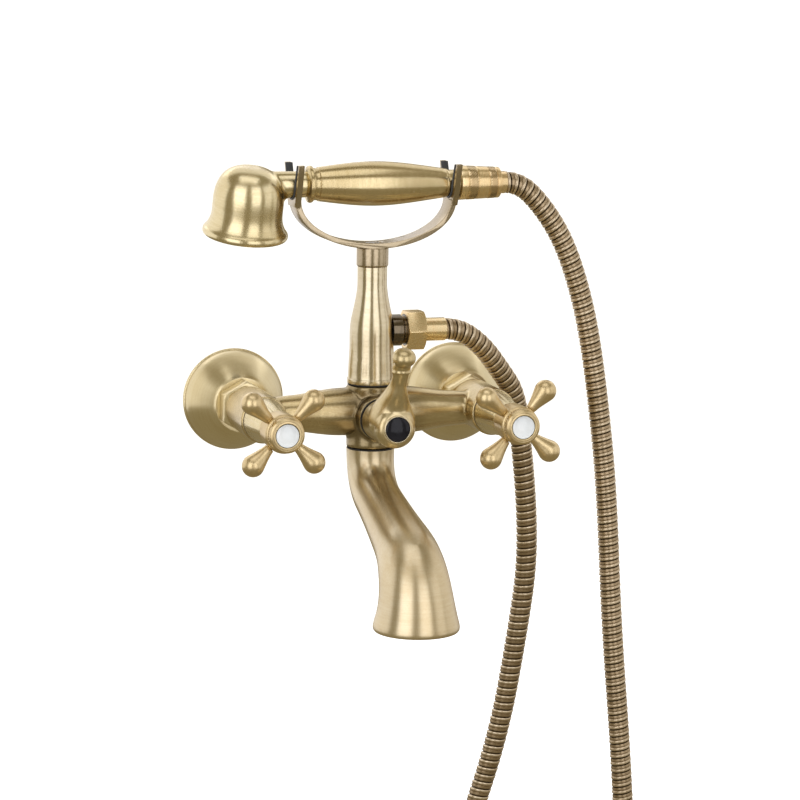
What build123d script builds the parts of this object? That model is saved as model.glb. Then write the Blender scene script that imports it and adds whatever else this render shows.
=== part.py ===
from build123d import *
import os
from math import cos, pi, radians, sin, tan

os.makedirs("parts", exist_ok=True)

# Wall-mounted bath shower mixer: two cross handles, a diverter lever between them, a swan-neck
# spout below, and a riser above that carries the hose outlet and the cradle of the hand shower.
# Millimetres. X runs to the right, Y into the wall and Z up. The origin lies on the finished
# wall, midway between the inlets. A depth is a distance from the wall towards the user.

# Clearances
thread_play = 0.08
shaft_play = 0.05
slide_gap = 0.1
overrun = 1.0

# Wall inlets: unions, flanges and nuts
inlet_spacing = 150
column_depth = 65
inlet_thread_radius = 10.48
inlet_thread_length = 18
union_neck_radius = 9.9
union_shoulder_depth = 16
union_end_radius = 13.22
union_end_depth = 34
water_radius = 7.5
union_washer_thickness = 2
flange_radius = 33.2
flange_neck_radius = 18
flange_depth = 27.6
flange_wall = 1.5
flange_shares = ((1, 0.06), (0.88, 0.29), (0.59, 0.58), (0.27, 0.83), (0, 1))
union_nut_across_flats = 30
union_nut_length = 13.4
union_nut_lip = 2.6
union_nut_chamfer = 1.6
tail_collar_radius = 13
tail_collar_thickness = 2.4
tail_neck_radius = 11.5
tail_gap = 2

# Mixer body
barrel_radius = 15
barrel_length = 45.5
barrel_edge = 1.2
column_radius = 15.5
column_top = 17.4
column_bottom = -23.1
column_edge = 0.8
arm_root_radius = 15.2
arm_waist_radius = 10.8
arm_shares = ((0.24, 1), (0.36, 0.9), (0.51, 0.56), (0.66, 0.2), (0.8, 0.02), (0.86, 0.04))
arm_flare_share = 0.35
channel_radius = 5.5
socket_radius = 10
socket_depth = 58
boss_radius = 14
lever_height = -2

# Valves and cross handles
headwork_radius = 9.9
headwork_collar_radius = 12
headwork_collar_thickness = 3
headwork_hex_across_flats = 17
headwork_hex_length = 5.5
headwork_neck_radius = 7
headwork_neck_length = 15
bonnet_seal_thickness = 1.4
bonnet_rear_radius = 13.9
bonnet_front_radius = 10.4
bonnet_length = 29.1
bonnet_wall = 1.5
bonnet_edge = 0.8
handle_gap = 3.5
spindle_radius = 4
spindle_insertion = 12
spindle_length = 33
hub_rear_radius = 11.7
hub_front_radius = 12.2
hub_length = 18.5
hub_edge = 0.9
hub_sleeve_radius = 6.8
hub_sleeve_length = 9.5
hub_recess_radius = 5
arm_count = 4
arm_bulb_distance = 27
arm_bulb_radius = 6.9
arm_neck_radius = 3
arm_depth_share = 0.73
arm_waist_shares = (0.5, 0.42)
arm_flank_angle = 108
arm_neck_angle = 10
arm_stud_radius = 2
arm_stud_length = 4
hot_handle_turn = 46
cold_handle_turn = 50
handle_ring_radius = 11.4
handle_ring_thickness = 6
handle_ring_edge = 0.7
bead_count = 28
bead_groove_radius = 0.55
button_radius = 7.1
button_proud = 1.3
button_dome = 0.9
button_dome_shares = (0.2, 0.7)
button_stem_length = 4
screw_radius = 2
screw_length = 8
screw_head_radius = 3.5
screw_head_height = 3

# Diverter and its lever
diverter_collar_radius = 12
diverter_collar_thickness = 1.5
diverter_neck_radius = 7
diverter_neck_length = 10
lever_gap = 1
lever_rear_radius = 13.2
lever_front_radius = 12.8
lever_straight = 30
lever_length = 35
lever_face_radius = 9.1
lever_wall = 2.4
lever_rear_recess = 11
cap_radius = 7.7
cap_seat_depth = 6
cap_proud = 1.7
bezel_radius = 8.7
bezel_thickness = 1.2
ball_rise = 4.3
ball_advance = 2.6
ball_radius = 7.3
ball_half_height = 5.9
ball_lean = 20
lever_collar_radius = 5.9
lever_collar_height = 1.6
# height above the hub's axis, half width, half depth and distance from the wall of each section
lever_sections = ((-7, 10.2, 12.4, 112), (-1, 14.3, 13.3, 112.5), (5, 14.7, 13.3, 112.5),
                  (12, 12.3, 13.3, 112.5), (19, 8.7, 11.5, 117.5), (25, 6.2, 8.2, 123),
                  (31, 5, 5.1, 128.6), (37.5, 5.5, 5.5, 132.3), (42, 5.5, 5.5, 135.4))

# Riser and hose outlet
seal_thickness = 0.8
seal_recess = 0.5
riser_foot_radius = 15.4
riser_foot_height = 3
riser_shares = ((0, 1), (0.14, 0.93), (0.3, 0.84), (0.42, 0.84), (0.52, 0.72), (0.61, 0.48),
                (0.7, 0.24), (0.8, 0.04), (0.87, 0))
riser_body_radius = 14.9
riser_neck_radius = 9.4
riser_top = 92.4
riser_thread_radius = 10
riser_thread_length = 9
riser_bore_radius = 6
spigot_radius = 6.5
spigot_length = 10
outlet_height = 51.3
nipple_radius = 10
nipple_seat = 12
nipple_tail_radius = 8
nipple_tail_length = 5
outlet_nut_start = 21.4
outlet_nut_length = 12
outlet_nut_across_flats = 23.8
outlet_nut_lip = 2
hose_washer_thickness = 2
sleeve_radius = 7.4
sleeve_length = 14.7
sleeve_flange_thickness = 2
sleeve_bore_radius = 4.5

# Cradle of the hand shower
ferrule_radius = 10.1
ferrule_height = 11.8
ferrule_edge = 0.7
strip_half_width = 50.5
strip_drop = 28.6
strip_thickness = 3.4
strip_width = 18
handset_rise = 10.1
fork_thickness = 3.6
fork_seat_radius = 9.6
fork_root_half_width = 9
fork_shoulder_half_width = 13.6
fork_tip_half_width = 19
fork_mouth_half_width = 15.2
fork_root_drop = 13.6
fork_shoulder_drop = 3.6
fork_rise = 12.9
liner_thickness = 1
liner_lip = 0.6
cradle_screw_radius = 2.5
cradle_screw_length = 12
cradle_screw_head_radius = 4.4
cradle_screw_head_height = 1.6
cradle_washer_radius = 5.6
cradle_washer_thickness = 1

# Hand shower
head_distance = 79.6
head_roll = 11
head_tilt = 3
head_shares = ((0.223, 0.998), (0.446, 0.964), (0.632, 0.881), (0.758, 0.751), (0.814, 0.611),
               (0.825, 0.476), (0.825, 0.342), (0.844, 0.252), (0.892, 0.175), (0.952, 0.117))
head_rim_radius = 26.9
head_top = 11.3
head_rim_height = -30.2
head_lip_height = -33.2
head_lip_radius = 24.6
head_rim_lean_share = 0.2
head_lip_shares = (0.011, 0.6)
head_wall = 2
spray_plate_radius = 22.6
spray_plate_thickness = 2
spray_plate_recess = 1.4
spray_hole_radius = 0.9
spray_rings = ((17, 16), (10.5, 10))
spray_screw_radius = 1.6
spray_screw_length = 10
spray_screw_head_radius = 3
spray_screw_head_height = 1.2
spray_post_radius = 4
neck_radius = 8.3
neck_fillet = 4
grip_start = 44
grip_end = 46.5
handset_spigot_radius = 7
handset_spigot_length = 14
handset_bore_radius = 4.5
bead_radius = 11.2
bead_width = 4
cove_radius = 10.1
cove_width = 3.5
grip_shoulder_radius = 10.7
grip_radius = 14
grip_tail_radius = 9.3
# place along the grip, from its shoulder to its tail, and share of the swell at each point
grip_shares = ((0.15, 0.5), (0.3, 0.87), (0.44, 1), (0.58, 0.9), (0.78, 0.5))
end_collar_radius = 9
end_collar_width = 2.2
end_groove_radius = 8.3
end_thread_radius = 9.2
end_thread_length = 10.6
hose_nut_rear_radius = 11.1
hose_nut_front_radius = 9.8
hose_nut_start = 55.4
hose_nut_length = 27.1
hose_nut_edge = 0.6
hose_nut_groove = 0.5
hose_nut_band_places = (4.8, 11.8, 19.0, 24.8)
upper_sleeve_proud = 4.5
upper_sleeve_radius = 7.1

# Hose
hose_radius = 7
hose_bore_radius = 5.6
hose_groove = 0.9
rib_pitch = 12
rib_ramp = 1.2
arc_share = 0.45

# Spout
spout_drop = 24.3
spout_reach = 171.5
spout_fall = 33.6
spout_mouth_height = -118
spout_upper_bend = 26
spout_lower_bend = 38
spout_bend_radius = 15
spout_mouth_radius = 26.3
spout_wall = 3
spout_shares = ((0, 0.04), (0.1, 0), (0.2, 0), (0.3, 0.01), (0.42, 0.09), (0.53, 0.18), (0.64, 0.29),
                (0.73, 0.43), (0.81, 0.57), (0.89, 0.67), (0.95, 0.84), (1, 1))
spout_lip = 1.7
spout_lip_height = 4
spout_thread_length = 10
aerator_radius = 19
aerator_height = 9
aerator_recess = 3.6
aerator_insert_radius = 15
aerator_ring_inner_lip = 1.2

# Places worked out from the sizes above
inlet_x = inlet_spacing / 2
union_nut_end = flange_depth + union_nut_length
tail_start = union_end_depth + union_washer_thickness
tail_collar_end = tail_start + tail_collar_thickness
barrel_start = union_nut_end + tail_gap
barrel_front = barrel_start + barrel_length
bonnet_rear = barrel_front + bonnet_seal_thickness
bonnet_front = bonnet_rear + bonnet_length
hub_rear = bonnet_front + handle_gap
hub_front = hub_rear + hub_length
headwork_hex_start = barrel_front + headwork_collar_thickness
headwork_neck_start = headwork_hex_start + headwork_hex_length
headwork_front = headwork_neck_start + headwork_neck_length
spindle_start = headwork_front - spindle_insertion
spindle_end = spindle_start + spindle_length
arm_depth = hub_rear + arm_depth_share * hub_length
lever_rear = barrel_front + diverter_collar_thickness + lever_gap
lever_front = lever_rear + lever_length
riser_base = column_top + seal_thickness
handset_base_x = -head_distance
strip_centre_height = riser_top + ferrule_height + strip_drop + strip_thickness / 2
strip_inner = riser_top + ferrule_height + strip_thickness
handset_height = strip_centre_height + handset_rise
fork_top = handset_height + fork_rise
outlet_nut_end = outlet_nut_start + outlet_nut_length
sleeve_end = outlet_nut_end + sleeve_length
hose_nut_end = hose_nut_start + hose_nut_length
hose_exit = hose_nut_end + upper_sleeve_proud

# Planes: on each, the first coordinate is a radius or X and the second a depth, a height or X
column_plane = Plane(origin=(0, -column_depth, 0), x_dir=(1, 0, 0), z_dir=(0, -1, 0))
column_axis = Axis((0, -column_depth, 0), (0, 0, 1))
arm_axis = Axis((0, -column_depth, 0), (1, 0, 0))
lever_plane = Plane(origin=(0, 0, lever_height), x_dir=(1, 0, 0), z_dir=(0, 0, -1))
lever_axis = Axis((0, 0, lever_height), (0, -1, 0))
outlet_plane = Plane(origin=(0, -column_depth, outlet_height), x_dir=(0, 0, 1), z_dir=(0, 1, 0))
outlet_axis = Axis((0, -column_depth, outlet_height), (1, 0, 0))
handset_plane = Plane(origin=(0, -column_depth, handset_height), x_dir=(0, 0, 1), z_dir=(0, 1, 0))
handset_axis = Axis((0, -column_depth, handset_height), (1, 0, 0))


def outline(plane, *points):
    """A closed face of straight edges on a plane."""
    with BuildSketch(plane) as sketch:
        with BuildLine():
            Polyline(*points, close=True)
        make_face()
    return sketch.sketch


def band(plane, inner, outer, start, end):
    """The section of a plain ring, or of a rod where the inner radius is zero."""
    return outline(plane, (inner, start), (outer, start), (outer, end), (inner, end))


def between(first, last, share):
    """The value at a share of the way from the first to the last."""
    return first + (last - first) * share


def save(builder, name):
    """Label a finished piece and write it to its own file."""
    builder.part.label = name
    export_step(builder.part, f"parts/{name}.step")


def hexagon_across(flats):
    """The corner radius of a hexagon of a given size across its flats."""
    return flats / 2 / cos(pi / 6)


# Inlets, valves and cross handles: the same pieces on the hot and on the cold side
for side, inlet, turn in (("hot", -inlet_x, hot_handle_turn), ("cold", inlet_x, cold_handle_turn)):
    valve_plane = Plane(origin=(inlet, 0, 0), x_dir=(1, 0, 0), z_dir=(0, 0, -1))
    valve_axis = Axis((inlet, 0, 0), (0, -1, 0))

    # The wall union has the inlet thread in the wall and the wider thread of the nut in front
    with BuildPart() as wall_union:
        revolve(outline(valve_plane, (water_radius, -inlet_thread_length),
                        (inlet_thread_radius, -inlet_thread_length), (inlet_thread_radius, 0),
                        (union_neck_radius, 0), (union_neck_radius, union_shoulder_depth),
                        (union_end_radius, union_shoulder_depth),
                        (union_end_radius, union_end_depth), (water_radius, union_end_depth)),
                        axis=valve_axis)
    save(wall_union, f"{side}_wall_union")

    # Bell-shaped flange, thin-walled, threaded on the union
    flange_curve = [(between(flange_neck_radius, flange_radius, r), flange_depth * d)
                    for r, d in flange_shares]
    flange_inside = [(r - flange_wall, d - flange_wall) for r, d in flange_curve[1:]]
    with BuildPart() as wall_flange:
        with BuildSketch(valve_plane):
            with BuildLine():
                Spline(*flange_curve)
                Polyline(flange_curve[-1], (union_end_radius + thread_play, flange_depth),
                         (union_end_radius + thread_play, flange_depth - flange_wall), flange_inside[-1])
                Spline((flange_radius - flange_wall, 0), *flange_inside)
                Polyline((flange_radius - flange_wall, 0), (flange_radius, 0), flange_curve[0])
            make_face()
        revolve(axis=valve_axis)
    save(wall_flange, f"{side}_wall_flange")

    # Union nut: a chamfered hexagon, threaded behind and with a lip that pulls on the body's tail
    nut_corner = hexagon_across(union_nut_across_flats)
    with BuildPart() as union_nut:
        with BuildSketch(Plane(origin=(inlet, -flange_depth, 0), x_dir=(0, 0, 1), z_dir=(0, -1, 0))):
            RegularPolygon(nut_corner, 6)
        extrude(amount=union_nut_length)
        revolve(outline(valve_plane, (0, flange_depth), (nut_corner - union_nut_chamfer, flange_depth),
                        (nut_corner, flange_depth + union_nut_chamfer / 2),
                        (nut_corner, union_nut_end - union_nut_chamfer / 2),
                        (nut_corner - union_nut_chamfer, union_nut_end), (0, union_nut_end)),
                axis=valve_axis, mode=Mode.INTERSECT)
        revolve(band(valve_plane, 0, union_end_radius + thread_play, flange_depth - overrun,
                     union_nut_end - union_nut_lip), axis=valve_axis, mode=Mode.SUBTRACT)
        revolve(band(valve_plane, 0, tail_neck_radius + slide_gap, flange_depth, union_nut_end + overrun),
                axis=valve_axis, mode=Mode.SUBTRACT)
    save(union_nut, f"{side}_union_nut")

    with BuildPart() as union_washer:
        revolve(band(valve_plane, water_radius, tail_collar_radius, union_end_depth, tail_start),
                axis=valve_axis)
    save(union_washer, f"{side}_union_washer")

    # Ceramic headwork: a cartridge in the barrel, its collar, hexagon and neck under the bonnet
    with BuildPart() as headwork:
        revolve(outline(valve_plane, (0, socket_depth), (headwork_radius, socket_depth),
                        (headwork_radius, barrel_front), (headwork_collar_radius, barrel_front),
                        (headwork_collar_radius, headwork_hex_start),
                        (headwork_neck_radius, headwork_hex_start),
                        (headwork_neck_radius, headwork_front), (0, headwork_front)), axis=valve_axis)
        with BuildSketch(Plane(origin=(inlet, -headwork_hex_start, 0), x_dir=(0, 0, 1), z_dir=(0, -1, 0))):
            RegularPolygon(hexagon_across(headwork_hex_across_flats), 6)
        extrude(amount=headwork_hex_length)
        revolve(band(valve_plane, 0, spindle_radius + shaft_play, spindle_start - slide_gap,
                     headwork_front + overrun), axis=valve_axis, mode=Mode.SUBTRACT)
    save(headwork, f"{side}_headwork")

    with BuildPart() as bonnet_seal:
        revolve(band(valve_plane, headwork_collar_radius + slide_gap, bonnet_rear_radius - slide_gap,
                     barrel_front, bonnet_rear), axis=valve_axis)
    save(bonnet_seal, f"{side}_bonnet_seal")

    # Bonnet: a thin cone that stands on the seal, open to the headwork's neck in front
    with BuildPart() as bonnet:
        revolve(outline(valve_plane, (bonnet_rear_radius - bonnet_wall, bonnet_rear),
                        (bonnet_rear_radius, bonnet_rear),
                        (bonnet_front_radius, bonnet_front - bonnet_edge),
                        (bonnet_front_radius - bonnet_edge, bonnet_front),
                        (headwork_neck_radius + shaft_play, bonnet_front),
                        (headwork_neck_radius + shaft_play, bonnet_front - 2 * bonnet_wall),
                        (bonnet_front_radius - bonnet_wall, bonnet_front - 2 * bonnet_wall)), axis=valve_axis)
    save(bonnet, f"{side}_bonnet")

    with BuildPart() as spindle:
        revolve(band(valve_plane, 0, spindle_radius, spindle_start, spindle_end), axis=valve_axis)
        revolve(band(valve_plane, 0, screw_radius + shaft_play, spindle_end - screw_length - slide_gap,
                     spindle_end + overrun), axis=valve_axis, mode=Mode.SUBTRACT)
    save(spindle, f"{side}_spindle")

    # Hub of the cross handle, with a sleeve behind and a recess for the screw in front
    arm_angles = [turn + 360 / arm_count * step for step in range(arm_count)]
    arm_root = hub_front_radius + slide_gap
    with BuildPart() as handle_hub:
        revolve(outline(valve_plane, (spindle_radius + shaft_play, hub_rear - hub_sleeve_length),
                        (hub_sleeve_radius, hub_rear - hub_sleeve_length), (hub_sleeve_radius, hub_rear),
                        (hub_rear_radius - hub_edge, hub_rear), (hub_rear_radius, hub_rear + hub_edge),
                        (hub_front_radius, hub_front - hub_edge), (hub_front_radius - hub_edge, hub_front),
                        (hub_recess_radius, hub_front), (hub_recess_radius, spindle_end),
                        (spindle_radius + shaft_play, spindle_end)), axis=valve_axis)
        for angle in arm_angles:
            outward = (cos(radians(angle)), 0, sin(radians(angle)))
            across = (sin(radians(angle)), 0, -cos(radians(angle)))
            arm_plane = Plane(origin=(inlet, -arm_depth, 0), x_dir=outward, z_dir=across)
            revolve(outline(arm_plane, (arm_root - arm_stud_length - slide_gap, 0),
                            (arm_root - arm_stud_length - slide_gap, arm_stud_radius + shaft_play),
                            (arm_root + overrun, arm_stud_radius + shaft_play), (arm_root + overrun, 0)),
                    axis=Axis(arm_plane.origin, outward), mode=Mode.SUBTRACT)
    save(handle_hub, f"{side}_handle_hub")

    # Four teardrop arms, each screwed into the hub by its stud
    with BuildPart() as handle_arms:
        for angle in arm_angles:
            outward = (cos(radians(angle)), 0, sin(radians(angle)))
            across = (sin(radians(angle)), 0, -cos(radians(angle)))
            arm_plane = Plane(origin=(inlet, -arm_depth, 0), x_dir=outward, z_dir=across)
            flank = (arm_bulb_distance + arm_bulb_radius * cos(radians(arm_flank_angle)),
                     arm_bulb_radius * sin(radians(arm_flank_angle)))
            waist = (between(arm_root, flank[0], arm_waist_shares[0]),
                     between(arm_neck_radius, flank[1], arm_waist_shares[1]))
            with BuildSketch(arm_plane):
                with BuildLine():
                    Spline((arm_root, arm_neck_radius), waist, flank,
                           tangents=((cos(radians(arm_neck_angle)), sin(radians(arm_neck_angle))),
                                     (sin(radians(arm_flank_angle)), -cos(radians(arm_flank_angle)))))
                    CenterArc((arm_bulb_distance, 0), arm_bulb_radius, 0, arm_flank_angle)
                    Polyline((arm_bulb_distance + arm_bulb_radius, 0), (arm_root - arm_stud_length, 0),
                             (arm_root - arm_stud_length, arm_stud_radius), (arm_root, arm_stud_radius),
                             (arm_root, arm_neck_radius))
                make_face()
            revolve(axis=Axis(arm_plane.origin, outward))
    save(handle_arms, f"{side}_handle_arms")

    # Beaded ring round the button
    with BuildPart() as handle_ring:
        with BuildSketch(Plane(origin=(inlet, -hub_front, 0), x_dir=(1, 0, 0), z_dir=(0, -1, 0))):
            Circle(handle_ring_radius)
            with PolarLocations(handle_ring_radius, bead_count):
                Circle(bead_groove_radius, mode=Mode.SUBTRACT)
            Circle(button_radius + slide_gap, mode=Mode.SUBTRACT)
        extrude(amount=handle_ring_thickness)
        revolve(outline(valve_plane, (handle_ring_radius - handle_ring_edge,
                                      hub_front + handle_ring_thickness),
                        (handle_ring_radius + overrun, hub_front + handle_ring_thickness),
                        (handle_ring_radius + overrun,
                         hub_front + handle_ring_thickness - handle_ring_edge - overrun)),
                axis=valve_axis, mode=Mode.SUBTRACT)
    save(handle_ring, f"{side}_handle_ring")

    # Porcelain button with a domed face and a stem in the hub's recess
    button_edge_depth = hub_front + handle_ring_thickness + button_proud - button_dome
    with BuildPart() as handle_button:
        with BuildSketch(valve_plane):
            with BuildLine():
                Polyline((0, hub_front - button_stem_length),
                         (hub_recess_radius - slide_gap, hub_front - button_stem_length),
                         (hub_recess_radius - slide_gap, hub_front), (button_radius, hub_front),
                         (button_radius, button_edge_depth))
                Spline((button_radius, button_edge_depth),
                       (between(button_radius, 0, button_dome_shares[0]),
                        between(button_edge_depth, button_edge_depth + button_dome, button_dome_shares[1])),
                       (0, button_edge_depth + button_dome), tangents=((0, 1), (-1, 0)))
                Line((0, button_edge_depth + button_dome), (0, hub_front - button_stem_length))
            make_face()
        revolve(axis=valve_axis)
    save(handle_button, f"{side}_handle_button")

    with BuildPart() as handle_screw:
        revolve(outline(valve_plane, (0, spindle_end - screw_length),
                        (screw_radius, spindle_end - screw_length),
                        (screw_radius, spindle_end), (screw_head_radius, spindle_end),
                        (screw_head_radius, spindle_end + screw_head_height),
                        (0, spindle_end + screw_head_height)),
                axis=valve_axis)
    save(handle_screw, f"{side}_handle_screw")

# Mixer body: an upright column, two tapering arms, two barrels that face the user, and a boss
arm_curve = [(inlet_x * x, between(arm_waist_radius, arm_root_radius, r)) for x, r in arm_shares]
with BuildPart() as mixer_body:
    with BuildSketch(column_plane):
        with BuildLine():
            Polyline((inlet_x, 0), (0, 0), (0, arm_root_radius), arm_curve[0])
            Spline(*arm_curve, tangents=((1, 0), (1, arm_flare_share)))
            Polyline(arm_curve[-1], (inlet_x, arm_curve[-1][1]), (inlet_x, 0))
        make_face()
    revolve(axis=arm_axis)
    inlet_plane = Plane(origin=(inlet_x, 0, 0), x_dir=(1, 0, 0), z_dir=(0, 0, -1))
    revolve(outline(inlet_plane, (0, tail_start), (tail_collar_radius, tail_start),
                    (tail_collar_radius, tail_collar_end), (tail_neck_radius, tail_collar_end),
                    (tail_neck_radius, barrel_start), (barrel_radius - barrel_edge, barrel_start),
                    (barrel_radius, barrel_start + barrel_edge), (barrel_radius, barrel_front),
                    (0, barrel_front)),
            axis=Axis((inlet_x, 0, 0), (0, -1, 0)))
    mirror(about=Plane.YZ)
    revolve(outline(column_plane, (0, column_bottom), (column_radius - column_edge, column_bottom),
                    (column_radius, column_bottom + column_edge), (column_radius, column_top - column_edge),
                    (column_radius - column_edge, column_top), (0, column_top)), axis=column_axis)
    revolve(band(lever_plane, 0, boss_radius, column_depth, barrel_front), axis=lever_axis)
    for inlet in (-inlet_x, inlet_x):
        valve_plane = Plane(origin=(inlet, 0, 0), x_dir=(1, 0, 0), z_dir=(0, 0, -1))
        revolve(outline(valve_plane, (0, tail_start - overrun), (water_radius, tail_start - overrun),
                        (water_radius, socket_depth), (socket_radius, socket_depth),
                        (socket_radius, barrel_front + overrun), (0, barrel_front + overrun)),
                axis=Axis((inlet, 0, 0), (0, -1, 0)), mode=Mode.SUBTRACT)
    revolve(outline(column_plane, (-inlet_x, 0), (inlet_x, 0), (inlet_x, channel_radius),
                    (-inlet_x, channel_radius)), axis=arm_axis, mode=Mode.SUBTRACT)
    revolve(band(lever_plane, 0, socket_radius, socket_depth, barrel_front + overrun), axis=lever_axis,
            mode=Mode.SUBTRACT)
    revolve(band(column_plane, 0, riser_thread_radius + thread_play,
                 riser_base - riser_thread_length - slide_gap,
                 column_top + overrun), axis=column_axis, mode=Mode.SUBTRACT)
    revolve(band(column_plane, 0, riser_thread_radius + thread_play, column_bottom - overrun,
                 column_bottom - seal_thickness + spout_thread_length + slide_gap), axis=column_axis,
            mode=Mode.SUBTRACT)
save(mixer_body, "mixer_body")

# Diverter: cartridge, seal, spindle and the lever with its ball end
with BuildPart() as diverter_cartridge:
    collar_end = barrel_front + diverter_collar_thickness
    neck_end = collar_end + diverter_neck_length
    revolve(outline(lever_plane, (0, socket_depth), (headwork_radius, socket_depth),
                    (headwork_radius, barrel_front),
                    (diverter_collar_radius, barrel_front), (diverter_collar_radius, collar_end),
                    (diverter_neck_radius, collar_end), (diverter_neck_radius, neck_end), (0, neck_end)),
            axis=lever_axis)
    revolve(band(lever_plane, 0, spindle_radius + shaft_play, neck_end - spindle_insertion - slide_gap,
                 neck_end + overrun), axis=lever_axis, mode=Mode.SUBTRACT)
save(diverter_cartridge, "diverter_cartridge")

with BuildPart() as diverter_seal:
    revolve(band(lever_plane, diverter_collar_radius + slide_gap, boss_radius - seal_recess, barrel_front,
                 collar_end),
            axis=lever_axis)
save(diverter_seal, "diverter_seal")

lever_web = lever_rear + lever_rear_recess
cap_seat = lever_front - cap_seat_depth
diverter_spindle_end = cap_seat - slide_gap
with BuildPart() as diverter_spindle:
    revolve(band(lever_plane, 0, spindle_radius, neck_end - spindle_insertion, diverter_spindle_end),
            axis=lever_axis)
    revolve(band(lever_plane, 0, screw_radius + shaft_play, diverter_spindle_end - screw_length - slide_gap,
                 diverter_spindle_end + overrun), axis=lever_axis, mode=Mode.SUBTRACT)
save(diverter_spindle, "diverter_spindle")

last_section_height, last_section_reach = lever_sections[-1][0], lever_sections[-1][3]
ball_centre = (0, -last_section_reach - ball_advance, lever_height + last_section_height + ball_rise)
with BuildPart() as diverter_lever:
    with BuildSketch(lever_plane):
        with BuildLine():
            Polyline((lever_face_radius, lever_front), (0, lever_front), (0, lever_rear),
                     (lever_rear_radius, lever_rear), (lever_front_radius, lever_rear + lever_straight))
            TangentArc((lever_front_radius, lever_rear + lever_straight), (lever_face_radius, lever_front),
                       tangent=(lever_front_radius - lever_rear_radius, lever_straight))
        make_face()
    revolve(axis=lever_axis)
    for height, half_width, half_depth, reach in lever_sections:
        with BuildSketch(Plane(origin=(0, -reach, lever_height + height))):
            Ellipse(half_width, half_depth)
    loft()
    leaning = Plane(origin=ball_centre, x_dir=(0, -cos(radians(ball_lean)), -sin(radians(ball_lean))),
                    z_dir=(1, 0, 0))
    with BuildSketch(leaning):
        Ellipse(ball_radius, ball_half_height)
        Rectangle(2 * ball_radius, 2 * ball_radius, align=(Align.MAX, Align.CENTER), mode=Mode.SUBTRACT)
    revolve(axis=Axis(ball_centre, leaning.y_dir))
    with BuildSketch(Plane(origin=(0, -lever_sections[-2][3], lever_height + lever_sections[-2][0]))):
        Circle(lever_collar_radius)
    extrude(amount=-lever_collar_height)
    revolve(band(lever_plane, 0, lever_rear_radius - lever_wall, lever_rear - overrun, lever_web),
            axis=lever_axis, mode=Mode.SUBTRACT)
    revolve(band(lever_plane, 0, spindle_radius + shaft_play, lever_rear, lever_front), axis=lever_axis,
            mode=Mode.SUBTRACT)
    revolve(band(lever_plane, 0, cap_radius + slide_gap, cap_seat, lever_front + overrun), axis=lever_axis,
            mode=Mode.SUBTRACT)
save(diverter_lever, "diverter_lever")

with BuildPart() as diverter_screw:
    revolve(outline(lever_plane, (0, diverter_spindle_end - screw_length),
                    (screw_radius, diverter_spindle_end - screw_length), (screw_radius, cap_seat),
                    (screw_head_radius, cap_seat), (screw_head_radius, cap_seat + screw_head_height),
                    (0, cap_seat + screw_head_height)), axis=lever_axis)
save(diverter_screw, "diverter_screw")

# The cap is a shallow dome over the screw, hollow behind
cap_edge_depth = lever_front + bezel_thickness - slide_gap
with BuildPart() as diverter_cap:
    with BuildSketch(lever_plane):
        with BuildLine():
            Polyline((0, lever_front + cap_proud), (0, cap_seat + screw_head_height + slide_gap),
                     (screw_head_radius + slide_gap, cap_seat + screw_head_height + slide_gap),
                     (screw_head_radius + slide_gap, cap_seat), (cap_radius, cap_seat),
                     (cap_radius, cap_edge_depth))
            TangentArc((0, lever_front + cap_proud), (cap_radius, cap_edge_depth), tangent=(1, 0))
        make_face()
    revolve(axis=lever_axis)
save(diverter_cap, "diverter_cap")

with BuildPart() as diverter_bezel:
    revolve(band(lever_plane, cap_radius + slide_gap, bezel_radius, lever_front,
                 lever_front + bezel_thickness),
            axis=lever_axis)
save(diverter_bezel, "diverter_bezel")

# Riser: a turned baluster on a foot ring, screwed into the body, with a spigot for the cradle
riser_start = riser_base + riser_foot_height
riser_curve = [(between(riser_neck_radius, riser_body_radius, r), between(riser_start, riser_top, h))
               for h, r in riser_shares]
with BuildPart() as riser:
    with BuildSketch(column_plane):
        with BuildLine():
            Polyline(riser_curve[-1], (riser_neck_radius, riser_top), (spigot_radius, riser_top),
                     (spigot_radius, riser_top + spigot_length), (0, riser_top + spigot_length),
                     (0, riser_base - riser_thread_length),
                     (riser_thread_radius, riser_base - riser_thread_length),
                     (riser_thread_radius, riser_base), (riser_foot_radius, riser_base),
                     (riser_foot_radius, riser_start), riser_curve[0])
            Spline(*riser_curve)
        make_face()
    revolve(axis=column_axis)
    revolve(band(column_plane, 0, riser_bore_radius, riser_base - riser_thread_length - overrun,
                 riser_top - cradle_screw_length), axis=column_axis, mode=Mode.SUBTRACT)
    revolve(band(column_plane, 0, cradle_screw_radius + shaft_play,
                 riser_top + spigot_length - cradle_screw_length, riser_top + spigot_length + overrun),
            axis=column_axis, mode=Mode.SUBTRACT)
    revolve(band(outlet_plane, 0, nipple_radius + slide_gap, nipple_seat, nipple_seat + riser_body_radius),
            axis=outlet_axis, mode=Mode.SUBTRACT)
    revolve(band(outlet_plane, 0, nipple_tail_radius + thread_play, nipple_seat - nipple_tail_length,
                 nipple_seat),
            axis=outlet_axis, mode=Mode.SUBTRACT)
save(riser, "riser")

with BuildPart() as riser_seal:
    revolve(band(column_plane, riser_thread_radius + slide_gap, column_radius - seal_recess, column_top,
                 riser_base),
            axis=column_axis)
save(riser_seal, "riser_seal")

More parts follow.
